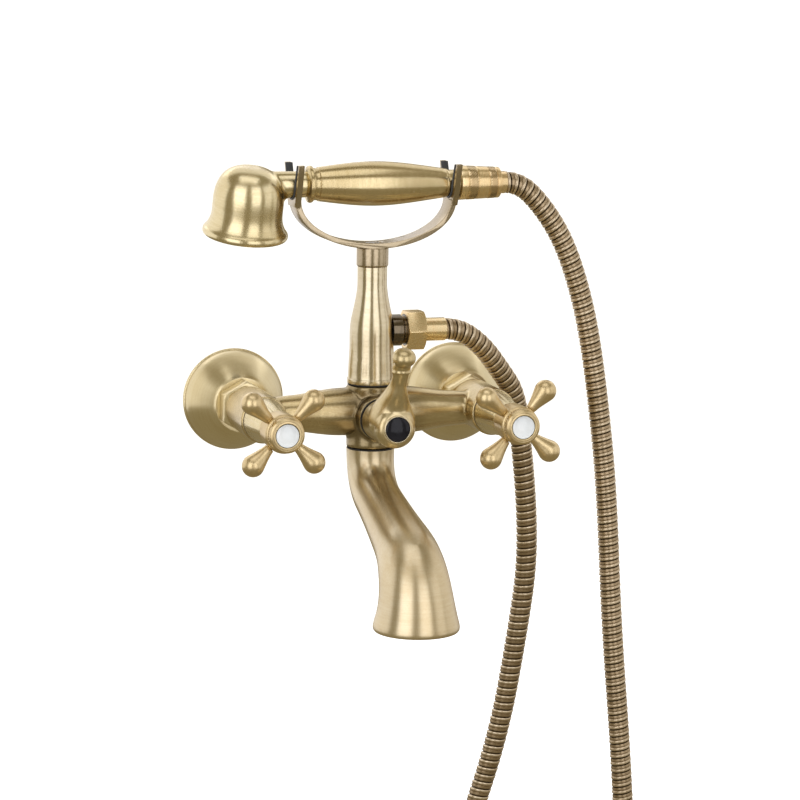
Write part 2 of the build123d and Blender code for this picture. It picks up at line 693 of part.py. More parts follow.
# Outlet: a threaded nipple in the riser, the hose nut and the sleeve that the hose is crimped in
nipple_end = outlet_nut_end - outlet_nut_lip - sleeve_flange_thickness - hose_washer_thickness
with BuildPart() as outlet_nipple:
    revolve(outline(outlet_plane, (sleeve_bore_radius, nipple_seat - nipple_tail_length),
                    (nipple_tail_radius, nipple_seat - nipple_tail_length), (nipple_tail_radius, nipple_seat),
                    (nipple_radius, nipple_seat), (nipple_radius, nipple_end),
                    (sleeve_bore_radius, nipple_end)),
            axis=outlet_axis)
save(outlet_nipple, "outlet_nipple")

with BuildPart() as outlet_washer:
    revolve(band(outlet_plane, sleeve_bore_radius, nipple_radius - slide_gap, nipple_end,
                 nipple_end + hose_washer_thickness), axis=outlet_axis)
save(outlet_washer, "outlet_washer")

outlet_nut_corner = hexagon_across(outlet_nut_across_flats)
with BuildPart() as outlet_hose_nut:
    with BuildSketch(Plane(origin=(outlet_nut_start, -column_depth, outlet_height), x_dir=(0, 1, 0),
                           z_dir=(1, 0, 0))):
        RegularPolygon(outlet_nut_corner, 6)
    extrude(amount=outlet_nut_length)
    revolve(outline(outlet_plane, (0, outlet_nut_start),
                    (outlet_nut_corner - union_nut_chamfer, outlet_nut_start),
                    (outlet_nut_corner, outlet_nut_start + union_nut_chamfer / 2),
                    (outlet_nut_corner, outlet_nut_end - union_nut_chamfer / 2),
                    (outlet_nut_corner - union_nut_chamfer, outlet_nut_end), (0, outlet_nut_end)),
            axis=outlet_axis, mode=Mode.INTERSECT)
    revolve(band(outlet_plane, 0, nipple_radius + thread_play, outlet_nut_start - overrun,
                 outlet_nut_end - outlet_nut_lip), axis=outlet_axis, mode=Mode.SUBTRACT)
    revolve(band(outlet_plane, 0, sleeve_radius + slide_gap, outlet_nut_start, outlet_nut_end + overrun),
            axis=outlet_axis, mode=Mode.SUBTRACT)
save(outlet_hose_nut, "outlet_hose_nut")

with BuildPart() as lower_hose_sleeve:
    flange_start = nipple_end + hose_washer_thickness
    revolve(outline(outlet_plane, (sleeve_bore_radius, flange_start),
                    (nipple_radius - slide_gap, flange_start),
                    (nipple_radius - slide_gap, flange_start + sleeve_flange_thickness),
                    (sleeve_radius, flange_start + sleeve_flange_thickness), (sleeve_radius, sleeve_end),
                    (sleeve_bore_radius, sleeve_end)), axis=outlet_axis)
save(lower_hose_sleeve, "lower_hose_sleeve")

# Cradle: a ferrule that turns on the riser's spigot, a bent strip and a fork at each end
ferrule_base = riser_top + slide_gap
ferrule_top = riser_top + ferrule_height
strip_plane = Plane(origin=(0, -column_depth, strip_centre_height), x_dir=(1, 0, 0), z_dir=(0, -1, 0))
washer_seat = strip_inner - slide_gap - cradle_washer_thickness - cradle_screw_head_height
fork_outline = ((-fork_root_half_width, handset_height - fork_root_drop),
                (-fork_shoulder_half_width, handset_height - fork_shoulder_drop),
                (-fork_tip_half_width, fork_top), (-fork_mouth_half_width, fork_top))
fork_inner_x = strip_half_width - fork_thickness / 3
with BuildPart() as cradle:
    with BuildSketch(strip_plane):
        Ellipse(strip_half_width + strip_thickness / 2, strip_drop + strip_thickness / 2)
        Ellipse(strip_half_width - strip_thickness / 2, strip_drop - strip_thickness / 2, mode=Mode.SUBTRACT)
        Rectangle(2 * strip_half_width + 2 * strip_thickness, strip_drop + strip_thickness,
                  align=(Align.CENTER, Align.MIN), mode=Mode.SUBTRACT)
    extrude(amount=strip_width / 2, both=True)
    revolve(outline(column_plane, (0, ferrule_base), (ferrule_radius - ferrule_edge, ferrule_base),
                    (ferrule_radius, ferrule_base + ferrule_edge), (ferrule_radius, ferrule_top),
                    (0, ferrule_top + strip_thickness / 2)), axis=column_axis)
    for fork_x in (-fork_inner_x - fork_thickness, fork_inner_x):
        with BuildSketch(Plane(origin=(fork_x, -column_depth, 0), x_dir=(0, 1, 0), z_dir=(1, 0, 0))):
            with BuildLine():
                Polyline(*fork_outline, (-fork_seat_radius, handset_height))
                ThreePointArc((-fork_seat_radius, handset_height), (0, handset_height - fork_seat_radius),
                              (fork_seat_radius, handset_height))
                Polyline((fork_seat_radius, handset_height), *[(-y, z) for y, z in reversed(fork_outline)],
                         fork_outline[0])
            make_face()
        extrude(amount=fork_thickness)
    revolve(outline(column_plane, (0, ferrule_base - overrun),
                    (spigot_radius + shaft_play, ferrule_base - overrun),
                    (spigot_radius + shaft_play, riser_top + spigot_length + slide_gap),
                    (cradle_screw_radius + slide_gap, riser_top + spigot_length + slide_gap),
                    (cradle_screw_radius + slide_gap, washer_seat),
                    (cradle_washer_radius + slide_gap, washer_seat),
                    (cradle_washer_radius + slide_gap, strip_centre_height), (0, strip_centre_height)),
            axis=column_axis, mode=Mode.SUBTRACT)
save(cradle, "cradle")

# Nylon liner of each fork: the seat's outline, a little wider than the fork, with a thin bed
for name, fork_x in (("left_fork_liner", -fork_inner_x - fork_thickness), ("right_fork_liner", fork_inner_x)):
    bed_radius = fork_seat_radius - liner_thickness
    mouth = (fork_mouth_half_width, fork_top - slide_gap)
    with BuildPart() as fork_liner:
        with BuildSketch(Plane(origin=(fork_x - liner_lip, -column_depth, 0), x_dir=(0, 1, 0),
                               z_dir=(1, 0, 0))):
            with BuildLine():
                Polyline((-bed_radius, handset_height), (liner_thickness - mouth[0], mouth[1]),
                         (-mouth[0] + slide_gap, mouth[1]), (-fork_seat_radius + slide_gap, handset_height))
                ThreePointArc((-fork_seat_radius + slide_gap, handset_height),
                              (0, handset_height - fork_seat_radius + slide_gap),
                              (fork_seat_radius - slide_gap, handset_height))
                Polyline((fork_seat_radius - slide_gap, handset_height), (mouth[0] - slide_gap, mouth[1]),
                         (mouth[0] - liner_thickness, mouth[1]), (bed_radius, handset_height))
                ThreePointArc((bed_radius, handset_height), (0, handset_height - bed_radius),
                              (-bed_radius, handset_height))
            make_face()
        extrude(amount=fork_thickness + 2 * liner_lip)
    save(fork_liner, name)

with BuildPart() as cradle_washer:
    revolve(band(column_plane, cradle_screw_radius + slide_gap, cradle_washer_radius, washer_seat + slide_gap,
                 washer_seat + slide_gap + cradle_washer_thickness), axis=column_axis)
save(cradle_washer, "cradle_washer")

screw_seat = washer_seat + slide_gap + cradle_washer_thickness
with BuildPart() as cradle_screw:
    revolve(outline(column_plane, (0, riser_top), (cradle_screw_radius, riser_top),
                    (cradle_screw_radius, screw_seat), (cradle_screw_head_radius, screw_seat),
                    (cradle_screw_head_radius, screw_seat + cradle_screw_head_height),
                    (0, screw_seat + cradle_screw_head_height)), axis=column_axis)
save(cradle_screw, "cradle_screw")

# Hand shower head: a bell on its own leaning axis, blended into a straight neck
bell_right = Vector(1, 0, 0).rotate(Axis.Y, head_tilt)
bell_front = Vector(0, -1, 0).rotate(Axis.X, head_roll).rotate(Axis.Y, head_tilt)
bell_plane = Plane(origin=(handset_base_x, -column_depth, handset_height), x_dir=bell_right,
                   z_dir=bell_front)
bell_axis = Axis(bell_plane.origin, bell_plane.y_dir)
bell_curve = [(head_rim_radius * r, between(head_lip_height, head_top, h)) for r, h in head_shares]
bell_inside = [(r - head_wall, h - head_wall) for r, h in bell_curve[:-2]]
plate_front = head_lip_height + spray_plate_recess
plate_rear = plate_front + spray_plate_thickness
with BuildPart() as handset_head:
    with BuildSketch(bell_plane):
        with BuildLine():
            Spline((0, head_top), *bell_curve, (head_rim_radius, head_rim_height),
                   tangents=((1, 0), (head_rim_lean_share, -1)))
            ThreePointArc((head_rim_radius, head_rim_height),
                          (head_rim_radius * (1 - head_lip_shares[0]),
                           between(head_rim_height, head_lip_height, head_lip_shares[1])),
                          (head_lip_radius, head_lip_height))
            Polyline((head_lip_radius, head_lip_height), (0, head_lip_height), (0, head_top))
        make_face()
    revolve(axis=bell_axis)
    revolve(band(handset_plane, 0, neck_radius, handset_base_x, -grip_start), axis=handset_axis)
    neck_edges = [edge for edge in edges().filter_by(GeomType.BSPLINE)
                  if handset_base_x < edge.center().X < -neck_radius - grip_start]
    fillet(neck_edges, neck_fillet)
    revolve(band(handset_plane, 0, handset_spigot_radius, -grip_start, -grip_start + handset_spigot_length),
            axis=handset_axis)
    with BuildSketch(bell_plane):
        with BuildLine():
            Spline((0, head_top - head_wall), *bell_inside, tangents=((1, 0), (0, -1)))
            Polyline(bell_inside[-1], (bell_inside[-1][0], plate_rear),
                     (spray_plate_radius + slide_gap, plate_rear),
                     (spray_plate_radius + slide_gap, head_lip_height - overrun),
                     (0, head_lip_height - overrun), (0, head_top - head_wall))
        make_face()
    revolve(axis=bell_axis, mode=Mode.SUBTRACT)
    revolve(band(handset_plane, 0, handset_bore_radius, handset_base_x,
                 -grip_start + handset_spigot_length + overrun),
            axis=handset_axis, mode=Mode.SUBTRACT)
    revolve(band(bell_plane, spray_screw_radius + shaft_play, spray_post_radius, plate_rear,
                 head_top - head_wall / 2), axis=bell_axis)
save(handset_head, "handset_head")

with BuildPart() as spray_plate:
    with BuildSketch(Plane(origin=bell_plane.origin + bell_plane.y_dir * plate_front, x_dir=bell_plane.x_dir,
                           z_dir=bell_plane.y_dir)):
        Circle(spray_plate_radius)
        for ring_radius, hole_count in spray_rings:
            with PolarLocations(ring_radius, hole_count):
                Circle(spray_hole_radius, mode=Mode.SUBTRACT)
        Circle(spray_screw_radius + shaft_play, mode=Mode.SUBTRACT)
    extrude(amount=spray_plate_thickness)
save(spray_plate, "spray_plate")

with BuildPart() as spray_screw:
    revolve(outline(bell_plane, (0, plate_front - spray_screw_head_height),
                    (spray_screw_head_radius, plate_front - spray_screw_head_height),
                    (spray_screw_head_radius, plate_front), (spray_screw_radius, plate_front),
                    (spray_screw_radius, plate_front + spray_screw_length),
                    (0, plate_front + spray_screw_length)),
            axis=bell_axis)
save(spray_screw, "spray_screw")

# Turned grip: a bead and a cove, then one long swell
cove_start = bead_width - grip_start
shoulder = cove_start + cove_width
grip_curve = [(between(between(grip_shoulder_radius, grip_tail_radius, x), grip_radius, r),
               between(shoulder, grip_end, x)) for x, r in grip_shares]
with BuildPart() as handset_grip:
    with BuildSketch(handset_plane):
        with BuildLine():
            Polyline((grip_tail_radius, grip_end), (handset_spigot_radius + thread_play, grip_end),
                     (handset_spigot_radius + thread_play, -grip_start), (neck_radius, -grip_start),
                     (bead_radius, -grip_start + bead_width / 3))
            ThreePointArc((bead_radius, -grip_start + bead_width / 3),
                          (bead_radius + bead_width / 9, -grip_start + bead_width * 2 / 3),
                          (bead_radius, cove_start))
            Line((bead_radius, cove_start), (cove_radius, cove_start))
            Line((cove_radius, cove_start), (cove_radius, shoulder))
            Line((cove_radius, shoulder), (grip_shoulder_radius, shoulder))
            Spline((grip_shoulder_radius, shoulder), *grip_curve, (grip_tail_radius, grip_end))
        make_face()
    revolve(axis=handset_axis)
save(handset_grip, "handset_grip")

# End of the handle: collar, the groove that lies in the right fork, and the hose thread
thread_end = hose_nut_start + end_thread_length
with BuildPart() as handset_end:
    revolve(outline(handset_plane, (handset_bore_radius, grip_end - handset_spigot_length),
                    (handset_spigot_radius, grip_end - handset_spigot_length),
                    (handset_spigot_radius, grip_end),
                    (end_collar_radius, grip_end), (end_collar_radius, grip_end + end_collar_width / 2),
                    (end_groove_radius, grip_end + end_collar_width), (end_groove_radius, hose_nut_start),
                    (end_thread_radius, hose_nut_start), (end_thread_radius, thread_end),
                    (handset_bore_radius, thread_end)), axis=handset_axis)
save(handset_end, "handset_end")

with BuildPart() as handset_washer:
    revolve(band(handset_plane, sleeve_bore_radius, end_thread_radius - slide_gap, thread_end,
                 thread_end + hose_washer_thickness), axis=handset_axis)
save(handset_washer, "handset_washer")

# Conical hose nut with two bands for the fingers, marked off by grooves
upper_flange_start = thread_end + hose_washer_thickness
upper_flange_end = upper_flange_start + sleeve_flange_thickness


def nut_surface(place):
    """Outside radius of the conical nut at a distance from its wide end."""
    return between(hose_nut_rear_radius, hose_nut_front_radius, place / hose_nut_length)


with BuildPart() as handset_hose_nut:
    groove_points = []
    for place in hose_nut_band_places:
        groove_points += [(nut_surface(place - hose_nut_groove), hose_nut_start + place - hose_nut_groove),
                          (nut_surface(place) - hose_nut_groove, hose_nut_start + place),
                          (nut_surface(place + hose_nut_groove), hose_nut_start + place + hose_nut_groove)]
    revolve(outline(handset_plane, (0, hose_nut_start),
                    (hose_nut_rear_radius - hose_nut_edge, hose_nut_start),
                    (hose_nut_rear_radius, hose_nut_start + hose_nut_edge), *groove_points,
                    (hose_nut_front_radius - hose_nut_edge, hose_nut_end), (0, hose_nut_end)),
                    axis=handset_axis)
    revolve(band(handset_plane, 0, end_thread_radius + thread_play, hose_nut_start - overrun,
                 upper_flange_end),
            axis=handset_axis, mode=Mode.SUBTRACT)
    revolve(band(handset_plane, 0, upper_sleeve_radius + slide_gap, hose_nut_start, hose_nut_end + overrun),
            axis=handset_axis, mode=Mode.SUBTRACT)
save(handset_hose_nut, "handset_hose_nut")

with BuildPart() as upper_hose_sleeve:
    revolve(outline(handset_plane, (sleeve_bore_radius, upper_flange_start),
                    (end_thread_radius - slide_gap, upper_flange_start),
                    (end_thread_radius - slide_gap, upper_flange_end),
                    (upper_sleeve_radius, upper_flange_end),
                    (upper_sleeve_radius, hose_exit), (sleeve_bore_radius, hose_exit)), axis=handset_axis)
save(upper_hose_sleeve, "upper_hose_sleeve")

# Hose: 1.5 m in two stretches that meet face to face on the way up to the outlet.
# The points are chosen by hand: out of the hand shower, down, round a wide loop and up again.
hose_meeting = (59, -51.6, -346)
upper_route = [(hose_exit, -column_depth, handset_height), (112.5, -65, 144.6), (129.5, -65, 121),
               (143, -65, 76), (153, -65, 16), (161.5, -65.5, -60), (167, -66, -150), (174, -66.5, -240),
               (182, -66, -325), (187.5, -65, -400), (190.5, -64, -462), (189, -63, -516),
               (164, -61.5, -557), (119.5, -60, -575), (73, -58, -563), (42.5, -56, -525),
               (37, -54, -464), (46, -52.8, -398), hose_meeting]
lower_route = [hose_meeting, (72, -50.4, -294), (96, -49, -222), (111.5, -48.5, -147), (114.5, -48.5, -77),
               (109, -50, -20), (97, -56, 20), (74, -65, 51.3), (sleeve_end, -column_depth, outlet_height)]


def bend_radii(route):
    """Radius of the arc at each inner point, as large as its two runs allow."""
    points = [Vector(*point) for point in route]
    radii = []
    for before, here, after in zip(points, points[1:], points[2:]):
        half_turn = radians((here - before).get_angle(after - here)) / 2
        shorter = min((here - before).length, (after - here).length)
        radii.append(arc_share * shorter / tan(half_turn))
    return radii


def hose_stations(length):
    """Distance along the hose and radius of each circle of the ribs, four circles to a rib."""
    plain_end = 2 * hose_radius
    count = int((length - 2 * plain_end) / rib_pitch)
    start = (length - count * rib_pitch) / 2
    stations = [(0, hose_radius)]
    for rib in range(count):
        foot = start + rib * rib_pitch
        stations += [(foot, hose_radius), (foot + rib_ramp, hose_radius - hose_groove),
                     (foot + 2 * rib_ramp, hose_radius - hose_groove), (foot + 3 * rib_ramp, hose_radius)]
    return stations + [(length, hose_radius)]


def hose_plane(path, share):
    """A plane square to the path, with a steady first axis."""
    return Plane(origin=path @ share, x_dir=(0, 1, 0), z_dir=path % share)


for name, route in (("hose_upper", upper_route), ("hose_lower", lower_route)):
    with BuildLine() as hose_path:
        FilletPolyline(*route, radius=bend_radii(route))
    line = hose_path.wire()
    print(name, "length", round(line.length, 1), "radii", [round(radius, 1) for radius in bend_radii(route)])
    with BuildPart() as hose:
        for distance, radius in hose_stations(line.length):
            with BuildSketch(hose_plane(line, distance / line.length)):
                Circle(radius)
        loft(ruled=True)
        with BuildSketch(hose_plane(line, 0)) as bore:
            Circle(hose_bore_radius)
        sweep(bore.sketch, path=line, mode=Mode.SUBTRACT)
    save(hose, name)

# Spout: round sections that swell along an S-shaped path to a flared mouth
spout_top = column_bottom - seal_thickness
spout_turn_height = column_bottom - spout_drop
with BuildLine(Plane.YZ) as spout_path:
    FilletPolyline((-column_depth, spout_top), (-column_depth, spout_turn_height),
                   (-spout_reach, spout_turn_height - spout_fall),
                   (-spout_reach, spout_mouth_height + spout_lip_height),
                   radius=[spout_upper_bend, spout_lower_bend])
spout_line = spout_path.wire()
aerator_base = spout_mouth_height + aerator_recess
with BuildPart() as spout:
    for place, swell in spout_shares:
        with BuildSketch(Plane(origin=spout_line @ place, x_dir=(1, 0, 0), z_dir=spout_line % place)):
            Circle(between(spout_bend_radius, spout_mouth_radius, swell))
    loft()
    mouth_plane = Plane(origin=(0, -spout_reach, 0), x_dir=(1, 0, 0), z_dir=(0, -1, 0))
    mouth_axis = Axis((0, -spout_reach, 0), (0, 0, 1))
    lip_top = spout_mouth_height + spout_lip_height
    revolve(outline(mouth_plane, (0, lip_top), (spout_mouth_radius, lip_top),
                    (spout_mouth_radius + spout_lip / 4, between(lip_top, spout_mouth_height, 0.5)),
                    (spout_mouth_radius - spout_lip / 3, spout_mouth_height + spout_lip / 3),
                    (spout_mouth_radius - spout_lip, spout_mouth_height), (0, spout_mouth_height)),
                    axis=mouth_axis)
    for place, swell in spout_shares[:-2]:
        with BuildSketch(Plane(origin=spout_line @ place, x_dir=(1, 0, 0), z_dir=spout_line % place)):
            Circle(between(spout_bend_radius, spout_mouth_radius, swell) - spout_wall)
    loft(mode=Mode.SUBTRACT)
    revolve(outline(mouth_plane, (0, aerator_base + aerator_height), (aerator_radius + slide_gap,
                    aerator_base + aerator_height), (aerator_radius + slide_gap, aerator_base),
                    (spout_mouth_radius - spout_lip - slide_gap, spout_mouth_height),
                    (spout_mouth_radius - spout_lip - slide_gap, spout_mouth_height - overrun),
                    (0, spout_mouth_height - overrun)), axis=mouth_axis, mode=Mode.SUBTRACT)
    revolve(outline(column_plane, (0, spout_top - spout_wall), (spout_bend_radius, spout_top - spout_wall),
                    (spout_bend_radius, spout_top), (riser_thread_radius, spout_top),
                    (riser_thread_radius, spout_top + spout_thread_length),
                    (0, spout_top + spout_thread_length)),
            axis=column_axis)
    revolve(band(column_plane, 0, riser_bore_radius, spout_top - spout_wall - overrun,
                 spout_top + spout_thread_length + overrun),
            axis=column_axis, mode=Mode.SUBTRACT)
save(spout, "spout")

with BuildPart() as spout_seal:
    revolve(band(column_plane, riser_thread_radius + slide_gap, column_radius - seal_recess, spout_top,
                 column_bottom),
            axis=column_axis)
save(spout_seal, "spout_seal")

with BuildPart() as aerator_ring:
    revolve(outline(mouth_plane, (aerator_insert_radius - aerator_ring_inner_lip, aerator_base),
                    (aerator_radius, aerator_base), (aerator_radius, aerator_base + aerator_height),
                    (aerator_insert_radius + slide_gap, aerator_base + aerator_height),
                    (aerator_insert_radius + slide_gap, aerator_base + aerator_ring_inner_lip),
                    (aerator_insert_radius - aerator_ring_inner_lip, aerator_base + aerator_ring_inner_lip)),
            axis=mouth_axis)
save(aerator_ring, "aerator_ring")

with BuildPart() as aerator_insert:
    revolve(band(mouth_plane, 0, aerator_insert_radius, aerator_base + aerator_ring_inner_lip,
                 aerator_base + aerator_height), axis=mouth_axis)
save(aerator_insert, "aerator_insert")
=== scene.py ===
"""Looks of a wall-mounted bath shower mixer in antique brass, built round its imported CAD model."""

import logging
import math
from contextlib import contextmanager
from dataclasses import dataclass, field, replace
from enum import Enum
from typing import ClassVar, Iterator, Sequence

import bmesh
import bpy
from mathutils import Matrix, Vector


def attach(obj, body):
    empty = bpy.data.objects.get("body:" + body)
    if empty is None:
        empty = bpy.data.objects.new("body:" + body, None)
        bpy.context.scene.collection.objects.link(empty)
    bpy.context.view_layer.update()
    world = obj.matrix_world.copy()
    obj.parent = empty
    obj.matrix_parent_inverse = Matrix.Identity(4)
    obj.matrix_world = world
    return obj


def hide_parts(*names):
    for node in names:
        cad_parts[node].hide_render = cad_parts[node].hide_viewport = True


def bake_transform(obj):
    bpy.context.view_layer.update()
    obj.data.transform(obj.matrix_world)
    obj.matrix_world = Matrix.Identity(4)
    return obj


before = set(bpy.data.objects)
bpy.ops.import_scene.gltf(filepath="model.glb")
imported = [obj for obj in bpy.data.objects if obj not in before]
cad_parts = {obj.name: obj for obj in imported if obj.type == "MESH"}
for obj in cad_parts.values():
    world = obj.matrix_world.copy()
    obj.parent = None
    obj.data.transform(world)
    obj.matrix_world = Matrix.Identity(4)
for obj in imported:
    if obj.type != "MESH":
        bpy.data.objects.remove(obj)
LOG = logging.getLogger("mixer")
MM = 0.001
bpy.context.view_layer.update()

Point = tuple[float, float]
Spot = tuple[float, float, float]
Colour = tuple[float, float, float]
Piece = bpy.types.Object
Socket = bpy.types.NodeSocket


class Grain(Enum):
    """The way in which a metal face was finished."""

    TURNED = "turned"
    DRAWN = "drawn"
    CAST = "cast"


class Side(Enum):
    """The two inlets, by the sign of their X."""

    HOT = -1
    COLD = 1

    @property
    def word(self) -> str:
        """The first word of the names of this side's nodes."""
        return self.name.lower()


@dataclass(frozen=True)
class Place:
    """An axis on the mixer that pieces are turned about, in millimetres."""

    name: str
    origin: Spot
    axis: Spot
    across: Spot

    def at(self, radius: float, along: float, angle: float = 0.0) -> Vector:
        """The point at a radius, a distance along the axis and an angle round it.

        Args:
            radius: distance from the axis in millimetres.
            along: distance from the origin along the axis in millimetres.
            angle: turn about the axis in degrees, from the across direction.

        Returns:
            The point in metres.
        """
        axis, across = Vector(self.axis).normalized(), Vector(self.across).normalized()
        upward = axis.cross(across)
        turn = math.radians(angle)
        outward = across * math.cos(turn) + upward * math.sin(turn)
        return (Vector(self.origin) + axis * along + outward * radius) * MM

    @property
    def centre(self) -> Vector:
        """The origin in metres."""
        return Vector(self.origin) * MM

    @property
    def direction(self) -> Vector:
        """The axis as a unit vector."""
        return Vector(self.axis).normalized()


INLET_X = 75.0
COLUMN_Y = -65.0
HANDSET_Z = 144.6
OUTLET_Z = 51.3
SPOUT_Y = -171.5
LEVER_Z = -2.0
HEAD_X = -79.6
HEAD_ROLL = 11.0
HEAD_TILT = 3.0


def head_axis() -> Spot:
    """The direction of the shower head's axis: rolled towards the user, then tilted to the right."""
    up = Vector((0, 0, 1))
    up.rotate(Matrix.Rotation(math.radians(HEAD_ROLL), 3, "X"))
    up.rotate(Matrix.Rotation(math.radians(HEAD_TILT), 3, "Y"))
    return tuple(up)


COLUMN = Place("column", (0, COLUMN_Y, 0), (0, 0, 1), (1, 0, 0))
ARMS = Place("arms", (0, COLUMN_Y, 0), (1, 0, 0), (0, 0, 1))
LEVER = Place("lever", (0, 0, LEVER_Z), (0, -1, 0), (1, 0, 0))
OUTLET = Place("outlet", (0, COLUMN_Y, OUTLET_Z), (1, 0, 0), (0, 0, 1))
HANDSET = Place("handset", (0, COLUMN_Y, HANDSET_Z), (1, 0, 0), (0, 0, 1))
HEAD = Place("head", (HEAD_X, COLUMN_Y, HANDSET_Z), head_axis(),
             (math.cos(math.radians(HEAD_TILT)), 0, -math.sin(math.radians(HEAD_TILT))))
MOUTH = Place("mouth", (0, SPOUT_Y, 0), (0, 0, 1), (1, 0, 0))


def valve_place(side: Side) -> Place:
    """The axis of one valve, with distances measured from the wall to the user."""
    return Place(f"{side.word}_valve", (side.value * INLET_X, 0, 0), (0, -1, 0), (1, 0, 0))


class NodeBoard:
    """The node tree of one material, with short calls for what the finishes share."""

    samples = 4

    def __init__(self, name: str) -> None:
        """Start a material with its shader."""
        self.material = bpy.data.materials.new(name)
        self.material.use_nodes = True
        self.nodes = self.material.node_tree.nodes
        self.links = self.material.node_tree.links
        self.shader = self.nodes["Principled BSDF"]

    def feed(self, socket: Socket, value: object) -> None:
        """Link a socket to another one, or set its own value."""
        if isinstance(value, Socket):
            self.links.new(value, socket)
        else:
            socket.default_value = value

    def shade(self, **values: object) -> None:
        """Feed the shader's sockets, named in lower case with underscores."""
        for name, value in values.items():
            words = name.replace("_", " ").lower()
            socket = next(s for s in self.shader.inputs if s.name.lower() == words)
            self.feed(socket, value)

    def maths(self, operation: str, first: object, second: object = 0.0) -> Socket:
        """A Math node's result."""
        node = self.nodes.new("ShaderNodeMath")
        node.operation = operation
        self.feed(node.inputs[0], first)
        self.feed(node.inputs[1], second)
        return node.outputs[0]

    def vector(self, operation: str, first: object, second: object = (0, 0, 0),
               scale: object = 1.0) -> Socket:
        """A Vector Math node's result: its number for a length or a dot product, else its vector."""
        node = self.nodes.new("ShaderNodeVectorMath")
        node.operation = operation
        self.feed(node.inputs[0], first)
        if operation not in {"LENGTH", "NORMALIZE", "SCALE"}:
            self.feed(node.inputs[1], second)
        if operation == "SCALE":
            self.feed(node.inputs["Scale"], scale)
        return node.outputs["Value" if operation in {"LENGTH", "DOT_PRODUCT"} else "Vector"]

    def position(self) -> Socket:
        """The object's own coordinates, in metres."""
        return self.nodes.new("ShaderNodeTexCoord").outputs["Object"]

    def attribute(self, name: str) -> Socket:
        """The number that an attribute of the mesh gives."""
        node = self.nodes.new("ShaderNodeAttribute")
        node.attribute_name = name
        return node.outputs["Fac"]

    def noise(self, vector: object, scale: float, detail: float = 2.0, w: object = None) -> Socket:
        """A Noise texture's value."""
        node = self.nodes.new("ShaderNodeTexNoise")
        node.noise_dimensions = "3D" if w is None else "4D"
        self.feed(node.inputs["Vector"], vector)
        if w is not None:
            self.feed(node.inputs["W"], w)
        node.inputs["Scale"].default_value = scale
        node.inputs["Detail"].default_value = detail
        return node.outputs["Fac"]

    def spread(self, value: object, low: float, high: float, start: float = 0.0,
               end: float = 1.0) -> Socket:
        """A value's range stretched from low and high to start and end, with its ends held."""
        node = self.nodes.new("ShaderNodeMapRange")
        self.feed(node.inputs["Value"], value)
        for socket, number in (("From Min", low), ("From Max", high), ("To Min", start), ("To Max", end)):
            node.inputs[socket].default_value = number
        return node.outputs["Result"]

    def mixed(self, factor: object, first: object, second: object) -> Socket:
        """Two colours mixed by a factor."""
        node = self.nodes.new("ShaderNodeMix")
        node.data_type = "RGBA"
        self.feed(node.inputs["Factor"], factor)
        for socket, value in zip((node.inputs[6], node.inputs[7]), (first, second)):
            self.feed(socket, (*value, 1.0) if isinstance(value, tuple) else value)
        return node.outputs[2]

    def bump(self, height: object, strength: float, distance: float, normal: object = None) -> Socket:
        """A Bump node's normal, over another normal where one is given."""
        node = self.nodes.new("ShaderNodeBump")
        node.inputs["Strength"].default_value = strength
        node.inputs["Distance"].default_value = distance
        self.feed(node.inputs["Height"], height)
        if normal is not None:
            self.feed(node.inputs["Normal"], normal)
        return node.outputs["Normal"]

    def soft_edge(self, radius: float) -> Socket:
        """A normal that is rounded over the piece's edges."""
        node = self.nodes.new("ShaderNodeBevel")
        node.samples = self.samples
        node.inputs["Radius"].default_value = radius
        return node.outputs["Normal"]

    def recess(self, distance: float) -> Socket:
        """1 on open faces, less in corners and grooves."""
        node = self.nodes.new("ShaderNodeAmbientOcclusion")
        node.samples = self.samples
        node.only_local = True
        node.inputs["Distance"].default_value = distance
        return node.outputs["AO"]


# shares of the patches' tone, and how much a drawn line changes along the axis beside across it
CLOUD_SHARE = 0.3
MOTTLE_SHARE = 0.2
LINE_SHARE = 0.25
DRAWN_SHARE = 0.04


